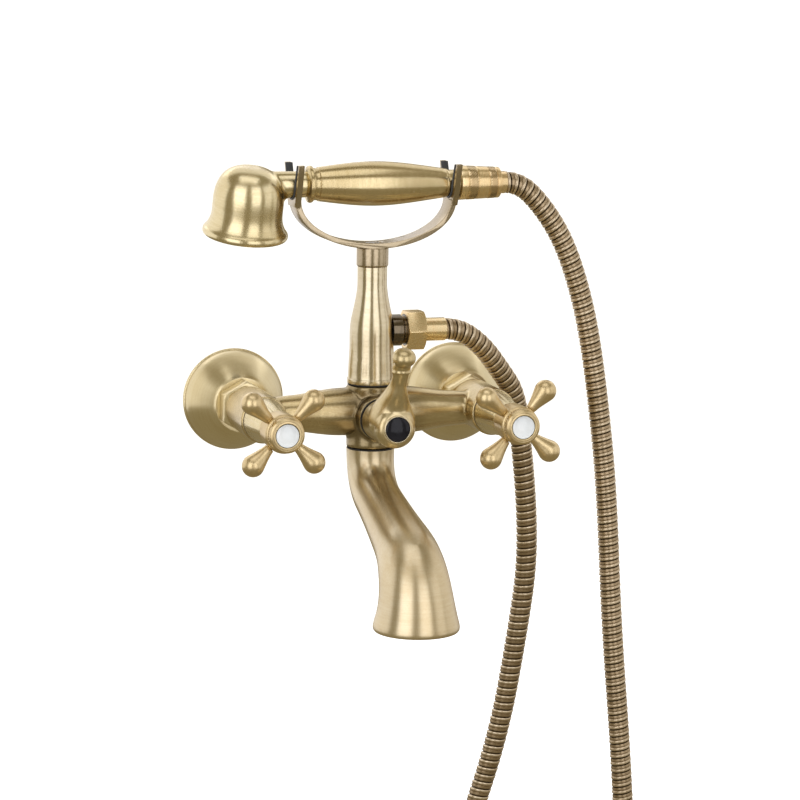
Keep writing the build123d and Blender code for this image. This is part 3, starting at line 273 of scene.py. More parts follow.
@dataclass(frozen=True)
class Brass:
    """Brushed and lacquered brass with edges painted lighter as wear and as a highlight, and patina with
    painted shade in its recesses.

    Attributes:
        light: colour of the bright patches, and of the edges, which it paints lighter as wear and as a
            highlight.
        middle: colour of the other patches.
        deep: colour of the patina, and of the painted shade in recesses, round the origin and in knurl
            valleys.
        stretch: how far the brushing draws out a reflection.
        streak: how often a brushed line changes on its way round.
        wear: share of the light colour on an edge, as rubbed wear and as a painted highlight.
        shadow_reach: how far from the place's origin the painted shade round it reaches, or 0 for none.
        painted_valley_shade: dark with painted shade where the mesh's attribute "valley" says so.
    """

    name: str
    light: Colour
    middle: Colour
    deep: Colour
    roughness: float = 0.23
    roughness_spread: float = 0.06
    stretch: float = 0.6
    lacquer: float = 0.15
    lacquer_roughness: float = 0.1
    lines: float = 2600.0
    bands: float = 500.0
    streak: float = 1.2
    cloud: float = 30.0
    mottle: float = 900.0
    edge_radius: float = 0.5 * MM
    recess_depth: float = 3.0 * MM
    recess_share: float = 0.6
    wear: float = 0.6
    shadow_reach: float = 0.0
    shadow_share: float = 0.75
    shadow_core: float = 0.45
    line_height: float = 0.006 * MM
    line_strength: float = 0.25
    painted_valley_shade: bool = False

    def dressed(self, place: Place, grain: Grain) -> bpy.types.Material:
        """The material for pieces on one axis.

        Args:
            place: the axis that the brushed lines go round or along.
            grain: how the faces were finished.

        Returns:
            The new material.
        """
        board = NodeBoard(f"{self.name}_{place.name}_{grain.value}")
        local = board.vector("SUBTRACT", board.position(), tuple(place.centre))
        lines, bands, tangent = self._brushing(board, local, tuple(place.direction), grain)
        tone = self._tone(board, local, lines, bands)
        edge = board.soft_edge(self.edge_radius)
        rough = board.spread(tone, 0.2, 0.9, self.roughness + self.roughness_spread, self.roughness)
        board.shade(base_color=self._colour(board, local, tone, edge), metallic=1.0, roughness=rough,
                    normal=board.bump(lines, self.line_strength, self.line_height, edge),
                    coat_weight=self.lacquer, coat_roughness=self.lacquer_roughness)
        if tangent is not None:
            board.shade(anisotropic=self.stretch, anisotropic_rotation=0.25, tangent=tangent)
        return board.material

    def _brushing(self, board: NodeBoard, local: Socket, axis: Spot,
                  grain: Grain) -> tuple[Socket, Socket, Socket | None]:
        """Fine lines, broad bands and, on turned faces, the direction that they run in."""
        along = board.vector("DOT_PRODUCT", local, axis)
        upright = board.vector("SCALE", axis, scale=along)
        radial = board.vector("SUBTRACT", local, upright)
        if grain is Grain.TURNED:
            outward, radius = board.vector("NORMALIZE", radial), board.vector("LENGTH", radial)
            lines, bands = (self._turned_lines(board, outward, axis, along, radius, pace)
                            for pace in (self.lines, self.bands))
            return lines, bands, board.vector("CROSS_PRODUCT", outward, axis)
        ground = local
        if grain is Grain.DRAWN:
            ground = board.vector("ADD", radial, board.vector("SCALE", upright, scale=DRAWN_SHARE))
        return board.noise(ground, self.lines), board.noise(ground, self.bands), None

    def _turned_lines(self, board: NodeBoard, outward: Socket, axis: Spot, along: Socket, radius: Socket,
                      pace: float) -> Socket:
        """Lines that go round the axis, on the sides of a piece and on its flat faces."""
        paced = board.maths("MULTIPLY", along, pace)
        round_about = board.vector("ADD", board.vector("SCALE", outward, scale=self.streak),
                                   board.vector("SCALE", axis, scale=paced))
        return board.noise(round_about, 1.0, w=board.maths("MULTIPLY", radius, pace))

    def _tone(self, board: NodeBoard, local: Socket, lines: Socket, bands: Socket) -> Socket:
        """From middle to light: slow clouds with a fine mottle and the brushed lines on them."""
        cloud = board.noise(local, self.cloud, detail=2.0)
        mottle = board.noise(local, self.mottle, detail=3.0)
        tone = board.maths("MULTIPLY", board.spread(cloud, 0.3, 0.7), CLOUD_SHARE)
        for part, share in ((mottle, MOTTLE_SHARE), (bands, LINE_SHARE), (lines, LINE_SHARE)):
            tone = board.maths("ADD", tone, board.maths("MULTIPLY", board.spread(part, 0.2, 0.8), share))
        return tone

    def _colour(self, board: NodeBoard, local: Socket, tone: Socket, edge: Socket) -> Socket:
        """The tone's colour: dark with patina and painted shade in recesses, with painted shade round the
        origin and in valleys, and light on edges as wear and a painted highlight.
        """
        colour = board.mixed(board.spread(tone, 0.25, 0.8), self.middle, self.light)
        # patina and painted shade: darker where ambient occlusion finds a corner or groove
        patina_and_shade = board.spread(board.recess(self.recess_depth), 0.3, 0.85, self.recess_share, 0.0)
        colour = board.mixed(patina_and_shade, colour, self.deep)
        # painted shade: darker towards the place's origin, which on the body is the hub
        if self.shadow_reach:
            patina_and_shade = board.spread(board.vector("LENGTH", local), self.shadow_core * self.shadow_reach,
                                  self.shadow_reach, self.shadow_share, 0.0)
            colour = board.mixed(patina_and_shade, colour, self.deep)
        # edges painted lighter: rubbed wear, and a painted highlight along them
        face = board.nodes.new("ShaderNodeNewGeometry").outputs["Normal"]
        worn_and_highlit_edge = board.spread(board.vector("DOT_PRODUCT", edge, face), 0.995, 0.9, 0.0, self.wear)
        colour = board.mixed(worn_and_highlit_edge, colour, self.light)
        # painted shade in the knurl's valleys
        if self.painted_valley_shade:
            valley = board.spread(board.attribute("valley"), 0.35, 0.9, 0.0, 0.85)
            colour = board.mixed(valley, colour, self.deep)
        return colour


@dataclass(frozen=True)
class Smooth:
    """A smooth coat, such as glaze, enamel, nylon or rubber."""

    name: str
    colour: Colour
    second: Colour
    roughness: float
    coat: float = 0.0
    grain: float = 900.0
    grain_height: float = 0.01 * MM
    grain_strength: float = 0.2
    blotch: float = 120.0
    shine: float = 0.5

    def dressed(self) -> bpy.types.Material:
        """The material, the same on every axis."""
        board = NodeBoard(self.name)
        position = board.position()
        fine = board.noise(position, self.grain, detail=3.0)
        blotch = board.noise(position, self.blotch, detail=2.0)
        colour = board.mixed(board.spread(blotch, 0.3, 0.7), self.colour, self.second)
        rough = board.spread(fine, 0.2, 0.8, self.roughness * 0.85, min(1.0, self.roughness * 1.15))
        board.shade(base_color=colour, roughness=rough, coat_weight=self.coat, coat_roughness=0.04,
                    specular_ior_level=self.shine,
                    normal=board.bump(fine, self.grain_strength, self.grain_height))
        return board.material


ANTIQUE = Brass("antique_brass", (0.90, 0.79, 0.51), (0.74, 0.61, 0.33), (0.18, 0.12, 0.05))
GRIP = replace(ANTIQUE, name="grip_brass", light=(0.86, 0.72, 0.43), middle=(0.66, 0.52, 0.26))
# painted shade: a darker copy of the antique brass, for the darker surroundings that the body's arms
# reflect, with patina and painted shade in its recesses and painted shade round the hub
SHADED_BODY_BRASS = replace(ANTIQUE, name="shaded_body_brass", light=(0.80, 0.67, 0.40), middle=(0.53, 0.40, 0.18),
               deep=(0.09, 0.06, 0.03), roughness=0.22, recess_depth=9 * MM, recess_share=0.85,
               shadow_reach=38 * MM)
BELL = replace(ANTIQUE, name="flange_brass", light=(0.89, 0.78, 0.50), middle=(0.76, 0.63, 0.35),
               roughness=0.27)
LEVER_BRASS = replace(ANTIQUE, name="lever_brass", light=(0.82, 0.69, 0.43), middle=(0.61, 0.49, 0.25),
                      roughness=0.27)
PALE = replace(ANTIQUE, name="pale_brass", light=(0.80, 0.71, 0.52), middle=(0.66, 0.56, 0.36),
               deep=(0.20, 0.15, 0.08), roughness=0.2)
SPOUT_BRASS = replace(PALE, name="spout_brass", light=(0.84, 0.74, 0.53), middle=(0.72, 0.58, 0.34),
                      roughness=0.29)
STRIP = replace(PALE, name="strip_brass", light=(0.54, 0.45, 0.31), middle=(0.42, 0.34, 0.21))
WARM = replace(ANTIQUE, name="warm_brass", light=(0.88, 0.72, 0.42), middle=(0.68, 0.52, 0.27),
               deep=(0.16, 0.10, 0.045), roughness=0.32)
GOLDEN = replace(ANTIQUE, name="golden_brass", light=(1.0, 0.84, 0.50), middle=(1.0, 0.72, 0.37),
                 deep=(0.18, 0.09, 0.03), roughness=0.24)
KNURLED = replace(GOLDEN, name="knurled_brass", deep=(0.10, 0.05, 0.02), edge_radius=0.05 * MM, painted_valley_shade=True)
DARK = replace(ANTIQUE, name="dark_brass", light=(0.22, 0.17, 0.10), middle=(0.08, 0.06, 0.035),
               deep=(0.02, 0.015, 0.01), roughness=0.14, lacquer=0.6)
PLAIN = replace(ANTIQUE, name="plain_brass", light=(0.86, 0.66, 0.33), middle=(0.74, 0.54, 0.24),
                deep=(0.25, 0.17, 0.07), lacquer=0.0)
STEEL = replace(ANTIQUE, name="steel", light=(0.75, 0.75, 0.76), middle=(0.6, 0.6, 0.61),
                deep=(0.15, 0.15, 0.16), lacquer=0.0)
PORCELAIN = Smooth("porcelain", (0.62, 0.64, 0.64), (0.56, 0.59, 0.60), 0.12, coat=0.4)
ENAMEL = Smooth("black_gloss", (0.006, 0.006, 0.008), (0.012, 0.012, 0.015), 0.1, shine=0.22)
NYLON = Smooth("black_nylon", (0.035, 0.038, 0.042), (0.06, 0.063, 0.068), 0.42, grain_strength=0.5)
RUBBER = Smooth("rubber", (0.010, 0.009, 0.008), (0.022, 0.02, 0.018), 0.7, grain_strength=0.6)
SILICONE = Smooth("grey_silicone", (0.22, 0.23, 0.24), (0.30, 0.31, 0.32), 0.55, grain_strength=0.4)


def dress(piece: Piece, material: bpy.types.Material) -> None:
    """Give a piece one material, in place of what it had."""
    piece.data.materials.clear()
    piece.data.materials.append(material)


def dress_nodes(material: bpy.types.Material, *names: str) -> None:
    """Give CAD nodes one material."""
    for name in names:
        dress(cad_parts[name], material)


@dataclass
class Outline:
    """Half section of a turned piece: radius and place along the axis of its points, in millimetres."""

    curve_steps: ClassVar[int] = 5
    arc_steps: ClassVar[int] = 4
    # how much of the run beside a corner its arc may take
    longest_reach: ClassVar[float] = 0.49

    corners: list[Spot] = field(default_factory=list)

    def to(self, radius: float, along: float, soft: float = 0.0) -> "Outline":
        """Go straight to a point.

        Args:
            radius: the point's distance from the axis.
            along: its place along the axis.
            soft: radius of the arc that rounds this corner, or 0 for a sharp one.

        Returns:
            The same outline.
        """
        self.corners.append((radius, along, soft))
        return self

    def through(self, *points: Point) -> "Outline":
        """Go on from the last point in a smooth curve through more of them.

        Args:
            points: radius and place of each point.

        Returns:
            The same outline.
        """
        nodes = [Vector(self.corners[-1][:2]), *(Vector(point) for point in points)]
        padded = [2 * nodes[0] - nodes[1], *nodes, 2 * nodes[-1] - nodes[-2]]
        for before, first, second, after in zip(padded, padded[1:], padded[2:], padded[3:]):
            for step in range(1, self.curve_steps + 1):
                t = step / self.curve_steps
                bend = (first * 2 + (second - before) * t
                        + (before * 2 - first * 5 + second * 4 - after) * t ** 2
                        + (first * 3 - before - second * 3 + after) * t ** 3) / 2
                self.corners.append((max(bend.x, 0.0), bend.y, 0.0))
        return self

    def points(self) -> list[Point]:
        """The outline's points, with arcs at its soft corners."""
        found: list[Point] = []
        count = len(self.corners)
        for index, (radius, along, soft) in enumerate(self.corners):
            here = Vector((radius, along))
            if not soft:
                found.append((radius, along))
                continue
            before = Vector(self.corners[index - 1][:2]) - here
            after = Vector(self.corners[(index + 1) % count][:2]) - here
            half = before.angle(after) / 2
            reach = min(soft / math.tan(half), before.length * self.longest_reach,
                        after.length * self.longest_reach)
            start, end = here + before.normalized() * reach, here + after.normalized() * reach
            for step in range(self.arc_steps + 1):
                t = step / self.arc_steps
                spot = start * (1 - t) ** 2 + here * 2 * t * (1 - t) + end * t ** 2
                found.append((spot.x, spot.y))
        return found


class Bench:
    """Modelling as by hand: primitives that are shaped in edit mode with Blender's operators."""

    merge_distance = 0.002 * MM
    smooth_angle = math.radians(32)

    @staticmethod
    def clear() -> None:
        """Select nothing."""
        for other in bpy.context.selected_objects:
            other.select_set(False)
        bpy.context.view_layer.objects.active = None

    @staticmethod
    def hold(piece: Piece) -> None:
        """Select one piece alone and make it the active one."""
        Bench.clear()
        piece.select_set(True)
        bpy.context.view_layer.objects.active = piece

    @staticmethod
    @contextmanager
    def editing(piece: Piece, choice: str | None = "SELECT") -> Iterator[None]:
        """Edit mode on one piece, left again at the end.

        Args:
            piece: the mesh object.
            choice: what is done first to its whole selection, or None to leave it as it is.
        """
        Bench.hold(piece)
        bpy.ops.object.mode_set(mode="EDIT")
        if choice:
            bpy.ops.mesh.select_all(action=choice)
        yield
        bpy.ops.object.mode_set(mode="OBJECT")

    @staticmethod
    @contextmanager
    def editing_face(piece: Piece, spot: Vector) -> Iterator[None]:
        """Edit mode with only the face nearest to a point selected.

        Args:
            piece: the mesh object, with its place applied.
            spot: the point in metres.
        """
        with Bench.editing(piece, "DESELECT"):
            bpy.ops.mesh.select_mode(type="FACE")
        min(piece.data.polygons, key=lambda face: (face.center - spot).length).select = True
        with Bench.editing(piece, None):
            yield

    @staticmethod
    def settle(piece: Piece, closed: bool = True) -> Piece:
        """Apply a piece's place, close its seams and shade it smooth.

        Args:
            piece: the mesh object.
            closed: turn its faces outwards, for a closed shape.

        Returns:
            The same piece.
        """
        Bench.hold(piece)
        bpy.ops.object.transform_apply(location=True, rotation=True, scale=True)
        with Bench.editing(piece):
            bpy.ops.mesh.remove_doubles(threshold=Bench.merge_distance)
            if closed:
                bpy.ops.mesh.normals_make_consistent(inside=False)
        bpy.ops.object.shade_smooth_by_angle(angle=Bench.smooth_angle)
        return piece

    @staticmethod
    def turned(name: str, place: Place, outline: Outline, steps: int = 96,
               loop: bool = False) -> Piece:
        """Turn an outline round its axis.

        Args:
            name: the piece's name.
            place: the axis.
            outline: half of the section.
            steps: faces round the piece.
            loop: close the outline, for a ring that doesn't reach the axis.

        Returns:
            The new piece.
        """
        points = outline.points()
        if loop:
            points.append(points[0])
        Bench.clear()
        bpy.ops.mesh.primitive_plane_add(size=MM, location=place.at(*points[0]))
        piece = bpy.context.object
        piece.name = piece.data.name = name
        with Bench.editing(piece):
            bpy.ops.mesh.merge(type="CENTER")
            for before, after in zip(points, points[1:]):
                step = place.at(*after) - place.at(*before)
                bpy.ops.mesh.extrude_vertices_move(TRANSFORM_OT_translate={"value": step})
            bpy.ops.mesh.select_all(action="SELECT")
            bpy.ops.mesh.spin(steps=steps, angle=2 * math.pi, center=place.centre, axis=place.direction)
        return Bench.settle(piece)

    @staticmethod
    def modify(piece: Piece, kind: str, **settings: object) -> None:
        """Add a modifier to a piece and apply it."""
        Bench.hold(piece)
        modifier = piece.modifiers.new(kind.lower(), kind)
        for name, value in settings.items():
            setattr(modifier, name, value)
        bpy.ops.object.modifier_apply(modifier=modifier.name)

    @staticmethod
    def ring_of(piece: Piece, place: Place, count: int) -> Piece:
        """Repeat a piece round an axis.

        Args:
            piece: the first of the row, in place.
            place: the axis.
            count: how many there are in the row.

        Returns:
            The same piece, with its row.
        """
        with Bench.editing(piece):
            bpy.ops.mesh.spin(steps=count - 1, angle=2 * math.pi * (count - 1) / count, dupli=True,
                              center=place.centre, axis=place.direction)
        return Bench.settle(piece)

    @staticmethod
    def knurl(piece: Piece, place: Place, start: float, end: float, rows: int, steps: int,
              height: float) -> None:
        """Raise every other point of a band, so that its faces become a diamond knurl.

        Args:
            piece: a turned piece with a row of points at each of the band's places.
            place: its axis.
            start: where the band starts along the axis, in millimetres.
            end: where it ends.
            rows: runs between its rows of points.
            steps: faces round the piece.
            height: how far the points are raised, in millimetres.
        """
        with Bench.editing(piece, "DESELECT"):
            bpy.ops.mesh.select_mode(type="VERT")
        valley = (piece.data.attributes.get("valley")
                  or piece.data.attributes.new("valley", "FLOAT", "POINT"))
        across = place.at(1.0, 0.0) - place.centre
        upward = place.at(1.0, 0.0, 90.0) - place.centre
        for vertex in piece.data.vertices:
            local = vertex.co - place.centre
            row = (local.dot(place.direction) / MM - start) / (end - start) * rows
            turn = math.atan2(local.dot(upward), local.dot(across)) / (2 * math.pi) * steps
            if 0.5 < row < rows - 0.5:
                vertex.select = (round(row) + round(turn)) % 2 == 0
                valley.data[vertex.index].value = 0.0 if vertex.select else 1.0
        with Bench.editing(piece, None):
            bpy.ops.transform.shrink_fatten(value=height * MM)

    @staticmethod
    def softened(name: str, node: str, grain: float, rounds: int) -> Piece:
        """A CAD node made again as one casting, with its creases filled and its edges rubbed down.

        Args:
            name: the new piece's name.
            node: the CAD node.
            grain: size of the new faces in millimetres.
            rounds: how often the surface is rubbed down.

        Returns:
            The new piece.
        """
        piece = Bench.copied(name, node)
        Bench.modify(piece, "REMESH", mode="VOXEL", voxel_size=grain * MM, use_smooth_shade=True)
        Bench.modify(piece, "SMOOTH", factor=0.5, iterations=rounds)
        Bench.hold(piece)
        bpy.ops.object.shade_smooth()
        return piece

    @staticmethod
    def eased(name: str, node: str, edge: float, limit: float = 38.0, segments: int = 2, flat: float = 0.3,
              smooth: float = 30.0) -> Piece:
        """A CAD node with its facets shaded smooth and a small round on its edges.

        Args:
            name: the new piece's name.
            node: the CAD node.
            edge: width of the round in millimetres.
            limit: the least angle of an edge that is rounded, in degrees.
            segments: faces across the round.
            flat: the angle up to which faces are made one, in degrees.
            smooth: the angle up to which faces are shaded smooth, in degrees.

        Returns:
            The new piece.
        """
        piece = Bench.copied(name, node)
        with Bench.editing(piece):
            bpy.ops.mesh.dissolve_limited(angle_limit=math.radians(flat))
        Bench.modify(piece, "BEVEL", width=edge * MM, segments=segments, limit_method="ANGLE",
                     angle_limit=math.radians(limit), use_clamp_overlap=True)
        Bench.hold(piece)
        bpy.ops.object.shade_smooth_by_angle(angle=math.radians(smooth))
        return piece

    @staticmethod
    def joined(name: str, pieces: Sequence[Piece]) -> Piece:
        """Join pieces into one, under a name."""
        Bench.hold(pieces[0])
        for other in pieces[1:]:
            other.select_set(True)
        bpy.ops.object.join()
        piece = bpy.context.object
        piece.name = piece.data.name = name
        return piece

    @staticmethod
    def copied(name: str, node: str) -> Piece:
        """A merged copy of a CAD node as a piece of its own."""
        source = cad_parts[node]
        mesh = source.data.copy()
        work = bmesh.new()
        work.from_mesh(mesh)
        bmesh.ops.remove_doubles(work, verts=work.verts, dist=Bench.merge_distance)
        work.to_mesh(mesh)
        work.free()
        piece = bpy.data.objects.new(name, mesh)
        bpy.context.scene.collection.objects.link(piece)
        return piece


def mount(piece: Piece, body: str, slot: str, material: bpy.types.Material,
          *replaced: str) -> Piece:
    """Put a finished piece on its body, with its finish.

    Args:
        piece: the new piece, in place.
        body: the CAD body that it rides on.
        slot: not used.
        material: its finish.
        replaced: the CAD nodes that it stands for.

    Returns:
        The same piece.
    """
    dress(piece, material)
    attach(piece, body)
    if replaced:
        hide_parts(*replaced)
    LOG.info("%s: %d faces", piece.name, len(piece.data.polygons))
    return piece


def mount_eased(body: str, slot: str, material: bpy.types.Material, *nodes: str, edge: float = 0.3) -> None:
    """Put rounded copies of CAD nodes in their place.

    Args:
        body: the CAD body that they ride on.
        slot: the record's material slot.
        material: their finish.
        nodes: the CAD nodes.
        edge: width of the round on their edges, in millimetres.
    """
    for node in nodes:
        mount(Bench.eased(f"{node}_finished", node, edge), body, slot, material, node)


@dataclass(frozen=True)
class SoftBox:
    """A soft box that hangs round the mixer and faces it.

    Attributes:
        azimuth: degrees to the user's right of straight in front of the wall.
        elevation: degrees above the mixer.
        distance: metres from the mixer.
        size: width and height in metres.
        strength: brightness of its face, where 1 is white.
    """

    name: str
    azimuth: float
    elevation: float
    distance: float
    size: Point
    strength: float

    def hang(self, target: Vector, colour: Colour) -> None:
        """Put the box in the studio.

        Args:
            target: the place that it faces, in metres.
            colour: its light's colour.
        """
        turn, lift = math.radians(self.azimuth), math.radians(self.elevation)
        away = Vector((math.sin(turn) * math.cos(lift), -math.cos(turn) * math.cos(lift), math.sin(lift)))
        light = bpy.data.lights.new(self.name, "AREA")
        light.shape = "RECTANGLE"
        light.size, light.size_y = self.size
        light.energy = math.pi * self.size[0] * self.size[1] * self.strength
        light.color = colour
        box = bpy.data.objects.new(self.name, light)
        box.location = target + away * self.distance
        box.rotation_mode = "QUATERNION"
        box.rotation_quaternion = (-away).to_track_quat("-Z", "Y")
        box.visible_camera = False
        bpy.context.scene.collection.objects.link(box)


# the first three stand side by side, with narrow dark gaps that show as lines in the metal
SOFT_BOXES = (
    SoftBox("left_box", -46, 12, 1.4, (0.96, 1.4), 1.45),
    SoftBox("right_box", 9, 12, 1.5, (0.86, 1.5), 1.3),
    SoftBox("right_fill", 53, 12, 1.6, (0.86, 1.6), 0.7),
    SoftBox("right_back", 106, 14, 1.6, (2.2, 1.8), 0.55),
    SoftBox("left_back", -142, 14, 1.6, (3.8, 1.8), 0.75),
    SoftBox("back_top", 165, 48, 1.7, (2.6, 1.2), 0.65),
    SoftBox("top_box", -20, 74, 1.7, (1.4, 1.0), 1.0),
)


@dataclass
class Studio:
    """Camera at the photograph's place, pale floor and soft boxes."""

    azimuth: float = 16.5
    elevation: float = 9.1
    roll: float = -0.76
    distance: float = 1.8
    lens: float = 126.5
    aim: Spot = (0.02085, -0.060, 0.0053)
    target: Spot = (0.02, -0.08, 0.0)
    light_colour: Colour = (0.97, 0.98, 1.08)
    surrounding: Colour = (1.0, 0.86, 0.56)
    surrounding_strength: float = 0.27
    floor_height: float = -0.62
    floor_size: float = 200.0

    def place_camera(self) -> None:
        """Stand the camera where the photograph was taken from."""
        turn, lift, lean = (math.radians(v) for v in (self.azimuth, self.elevation, self.roll))
        view = Vector((math.sin(turn) * math.cos(lift), math.cos(turn) * math.cos(lift), -math.sin(lift)))
        right = Vector((math.cos(turn), -math.sin(turn), 0))
        up = right.cross(view)
        rolled_right = right * math.cos(lean) - up * math.sin(lean)
        rolled_up = right * math.sin(lean) + up * math.cos(lean)
        data = bpy.data.cameras.new("camera")
        data.lens, data.sensor_width = self.lens, 36.0
        data.clip_start, data.clip_end = 0.1, 400.0
        camera = bpy.data.objects.new("camera", data)
        bpy.context.scene.collection.objects.link(camera)
        turned = Matrix((rolled_right, rolled_up, -view)).transposed().to_4x4()
        camera.matrix_world = Matrix.Translation(Vector(self.aim) - view * self.distance) @ turned
        bpy.context.scene.camera = camera

    def light(self) -> None:
        """Hang the soft boxes and set a dim plain surrounding, which the camera sees as white."""
        for box in SOFT_BOXES:
            box.hang(Vector(self.target), self.light_colour)
        world = bpy.data.worlds.new("studio")
        world.use_nodes = True
        bpy.context.scene.world = world
        nodes, links = world.node_tree.nodes, world.node_tree.links
        seen, lit = nodes["Background"], nodes.new("ShaderNodeBackground")
        mix = nodes.new("ShaderNodeMixShader")
        seen.inputs["Color"].default_value = (1, 1, 1, 1)
        lit.inputs["Color"].default_value = (*self.surrounding, 1)
        lit.inputs["Strength"].default_value = self.surrounding_strength
        path = nodes.new("ShaderNodeLightPath")
        links.new(path.outputs["Is Camera Ray"], mix.inputs[0])
        links.new(lit.outputs[0], mix.inputs[1])
        links.new(seen.outputs[0], mix.inputs[2])
        links.new(mix.outputs[0], nodes["World Output"].inputs[0])
        bpy.context.scene.view_settings.view_transform = "Standard"

    def lay_floor(self) -> None:
        """Lay the pale floor below the hose's loop."""
        Bench.clear()
        bpy.ops.mesh.primitive_plane_add(size=self.floor_size, location=(0, 0, self.floor_height))
        floor = bpy.context.object
        floor.name = "floor"
        bpy.ops.object.transform_apply(location=True, rotation=True, scale=True)
        board = NodeBoard("floor_paint")
        board.shade(base_color=(0.9, 0.9, 0.9, 1.0), roughness=0.9, emission_color=(1, 1, 1, 1),
                    emission_strength=1.0)
        dress(floor, board.material)
        floor.visible_glossy = False


@dataclass(frozen=True)
class HoseStep:
    """One step along the hose, in metres.

    Attributes:
        centre: the point on its line.
        side: a direction square to the line.
        up: the direction square to both.
        place: distance from the hose's start.
    """

    centre: Vector
    side: Vector
    up: Vector
    place: float


@dataclass
class ShowerHose:
    """The 1.5 m metal hose: a helical strip whose turns lock into each other."""

    diameter: float = 14.0
    pitch: float = 5.0
    around: int = 24
    sample: float = 1.5
    # place in one pitch, as a share of it, and height of the strip there, as a share of the groove
    strip: tuple[Point, ...] = ((0.0, 0.1), (0.05, 0.12), (0.1, 0.62), (0.25, 0.74), (0.4, 0.8),
                                (0.45, 0.5), (0.49, 0.5), (0.54, 0.82), (0.7, 0.9), (0.82, 1.0),
                                (0.9, 0.85), (0.96, 0.1))
    groove: float = 1.1
    crest_colours: tuple[Colour, Colour] = ((0.68, 0.55, 0.37), (0.92, 0.80, 0.60))
    # painted shade: colours of the strip's sides and of the bottom of its grooves
    shaded_side_colours: tuple[Colour, Colour] = ((0.34, 0.25, 0.14), (0.56, 0.43, 0.27))
    groove_shade_colour: Colour = (0.07, 0.045, 0.02)
    upper_length: float = 1.06
    lower_length: float = 0.44
    # X, Y and Z of each point of the two stretches, in millimetres
    upper: tuple[Spot, ...] = (
        (87, -65, 144.6), (97, -65, 144.2), (112, -65, 130), (127, -65, 108), (138.5, -65, 78),
        (147, -65, 45), (155, -65, -5), (161.5, -65.5, -60), (167, -66, -150), (176, -66.5, -240),
        (182, -66, -325), (187.5, -65, -400), (190.5, -64, -462), (189, -63, -516), (164, -61.5, -557),
        (119.5, -60, -575), (73, -58, -563), (42.5, -56, -525), (37, -54, -464), (46, -52.8, -398),
        (59, -51.6, -346))
    lower: tuple[Spot, ...] = (
        (59, -51.6, -346), (72, -50.4, -294), (96, -49, -222), (108, -48.5, -150), (113, -48.5, -110),
        (112, -48.5, -70), (107, -49, -25), (101, -53, 6), (89, -58, 22), (74, -64, 40),
        (58, -65, 51.3), (48.1, -65, 51.3))

    def route(self, points: Sequence[Spot]) -> list[Vector]:
        """Points read from the smooth line of one stretch.

        Args:
            points: the stretch's control points.

        Returns:
            Points of its NURBS spline, in metres.
        """
        curve = bpy.data.curves.new("hose_route", "CURVE")
        curve.dimensions = "3D"
        spline = curve.splines.new("NURBS")
        spline.points.add(len(points) - 1)
        for knot, point in zip(spline.points, points):
            knot.co = (*(value * MM for value in point), 1.0)
        spline.order_u = 3
        spline.use_endpoint_u = True
        spline.resolution_u = 24
        holder = bpy.data.objects.new("hose_route", curve)
        mesh = bpy.data.meshes.new_from_object(holder)
        line = [vertex.co.copy() for vertex in mesh.vertices]
        bpy.data.objects.remove(holder)
        bpy.data.meshes.remove(mesh)
        bpy.data.curves.remove(curve)
        return line

    @staticmethod
    def length_of(line: list[Vector]) -> float:
        """Length along a line of points."""
        return sum((after - before).length for before, after in zip(line, line[1:]))

    def walk(self, line: list[Vector]) -> list[HoseStep]:
        """Even steps along the hose, without twist.

        Args:
            line: points of the whole hose, in metres.

        Returns:
            The steps, with two pitches more of straight line at each end.
        """
        spare = self.pitch * MM * 2
        first, last = (line[0] - line[1]).normalized(), (line[-1] - line[-2]).normalized()
        line = [line[0] + first * spare, *line, line[-1] + last * spare]
        found, left = [], 0.0
        distance, side = -spare, Vector((0, 1, 0))
        for here, there in zip(line, line[1:]):
            run = (there - here).length
            while left <= run:
                centre = here.lerp(there, left / run)
                found.append((centre, distance + left))
                left += self.sample * MM
            left -= run
            distance += run
        steps = []
        for index, (centre, place) in enumerate(found):
            before = found[max(index - 2, 0)][0]
            after = found[min(index + 2, len(found) - 1)][0]
            ahead = (after - before).normalized()
            side = (side - ahead * side.dot(ahead)).normalized()
            steps.append(HoseStep(centre, side.copy(), ahead.cross(side), place))
        return steps

    def spot(self, steps: list[HoseStep], place: float, angle: float, height: float) -> Vector:
        """The point of the surface at a distance along the hose and an angle round it."""
        step = (place - steps[0].place) / (steps[1].place - steps[0].place)
        index = min(max(int(step), 0), len(steps) - 2)
        share = min(max(step - index, 0.0), 1.0)
        here, there = steps[index], steps[index + 1]
        centre = here.centre.lerp(there.centre, share)
        outward = (here.side.lerp(there.side, share) * math.cos(angle)
                   + here.up.lerp(there.up, share) * math.sin(angle)).normalized()
        radius = self.diameter / 2 - self.groove * (1 - height)
        return centre + outward * radius * MM

    def stretch(self, name: str, steps: list[HoseStep], first: int, last: int) -> Piece:
        """The strip's mesh between two of its rows of points.

        Args:
            name: the piece's name.
            steps: the steps along the whole hose.
            first: the row that it starts at.
            last: the row that it ends at.

        Returns:
            The new piece.
        """
        count, pitch = len(self.strip), self.pitch * MM
        mesh = bmesh.new()
        depth = mesh.verts.layers.float.new("groove")
        rows = {}
        for row in range(first, last + self.around + 2):
            turn = row / self.around
            rows[row] = []
            for share, height in self.strip:
                place = steps[0].place + (turn + share) * pitch
                vertex = mesh.verts.new(self.spot(steps, place, turn * 2 * math.pi, height))
                vertex[depth] = 1 - height
                rows[row].append(vertex)
        for row in range(first, last):
            for index in range(count):
                across = index + 1 < count
                after = rows[row][index + 1] if across else rows[row + self.around][0]
                beside = rows[row + 1][index + 1] if across else rows[row + 1 + self.around][0]
                mesh.faces.new((rows[row][index], rows[row + 1][index], beside, after))
        bmesh.ops.delete(mesh, geom=[v for v in mesh.verts if not v.link_faces], context="VERTS")
        data = bpy.data.meshes.new(name)
        mesh.normal_update()
        mesh.to_mesh(data)
        mesh.free()
        piece = bpy.data.objects.new(name, data)
        bpy.context.scene.collection.objects.link(piece)
        Bench.hold(piece)
        bpy.ops.object.shade_smooth_by_angle(angle=math.radians(50))
        return piece

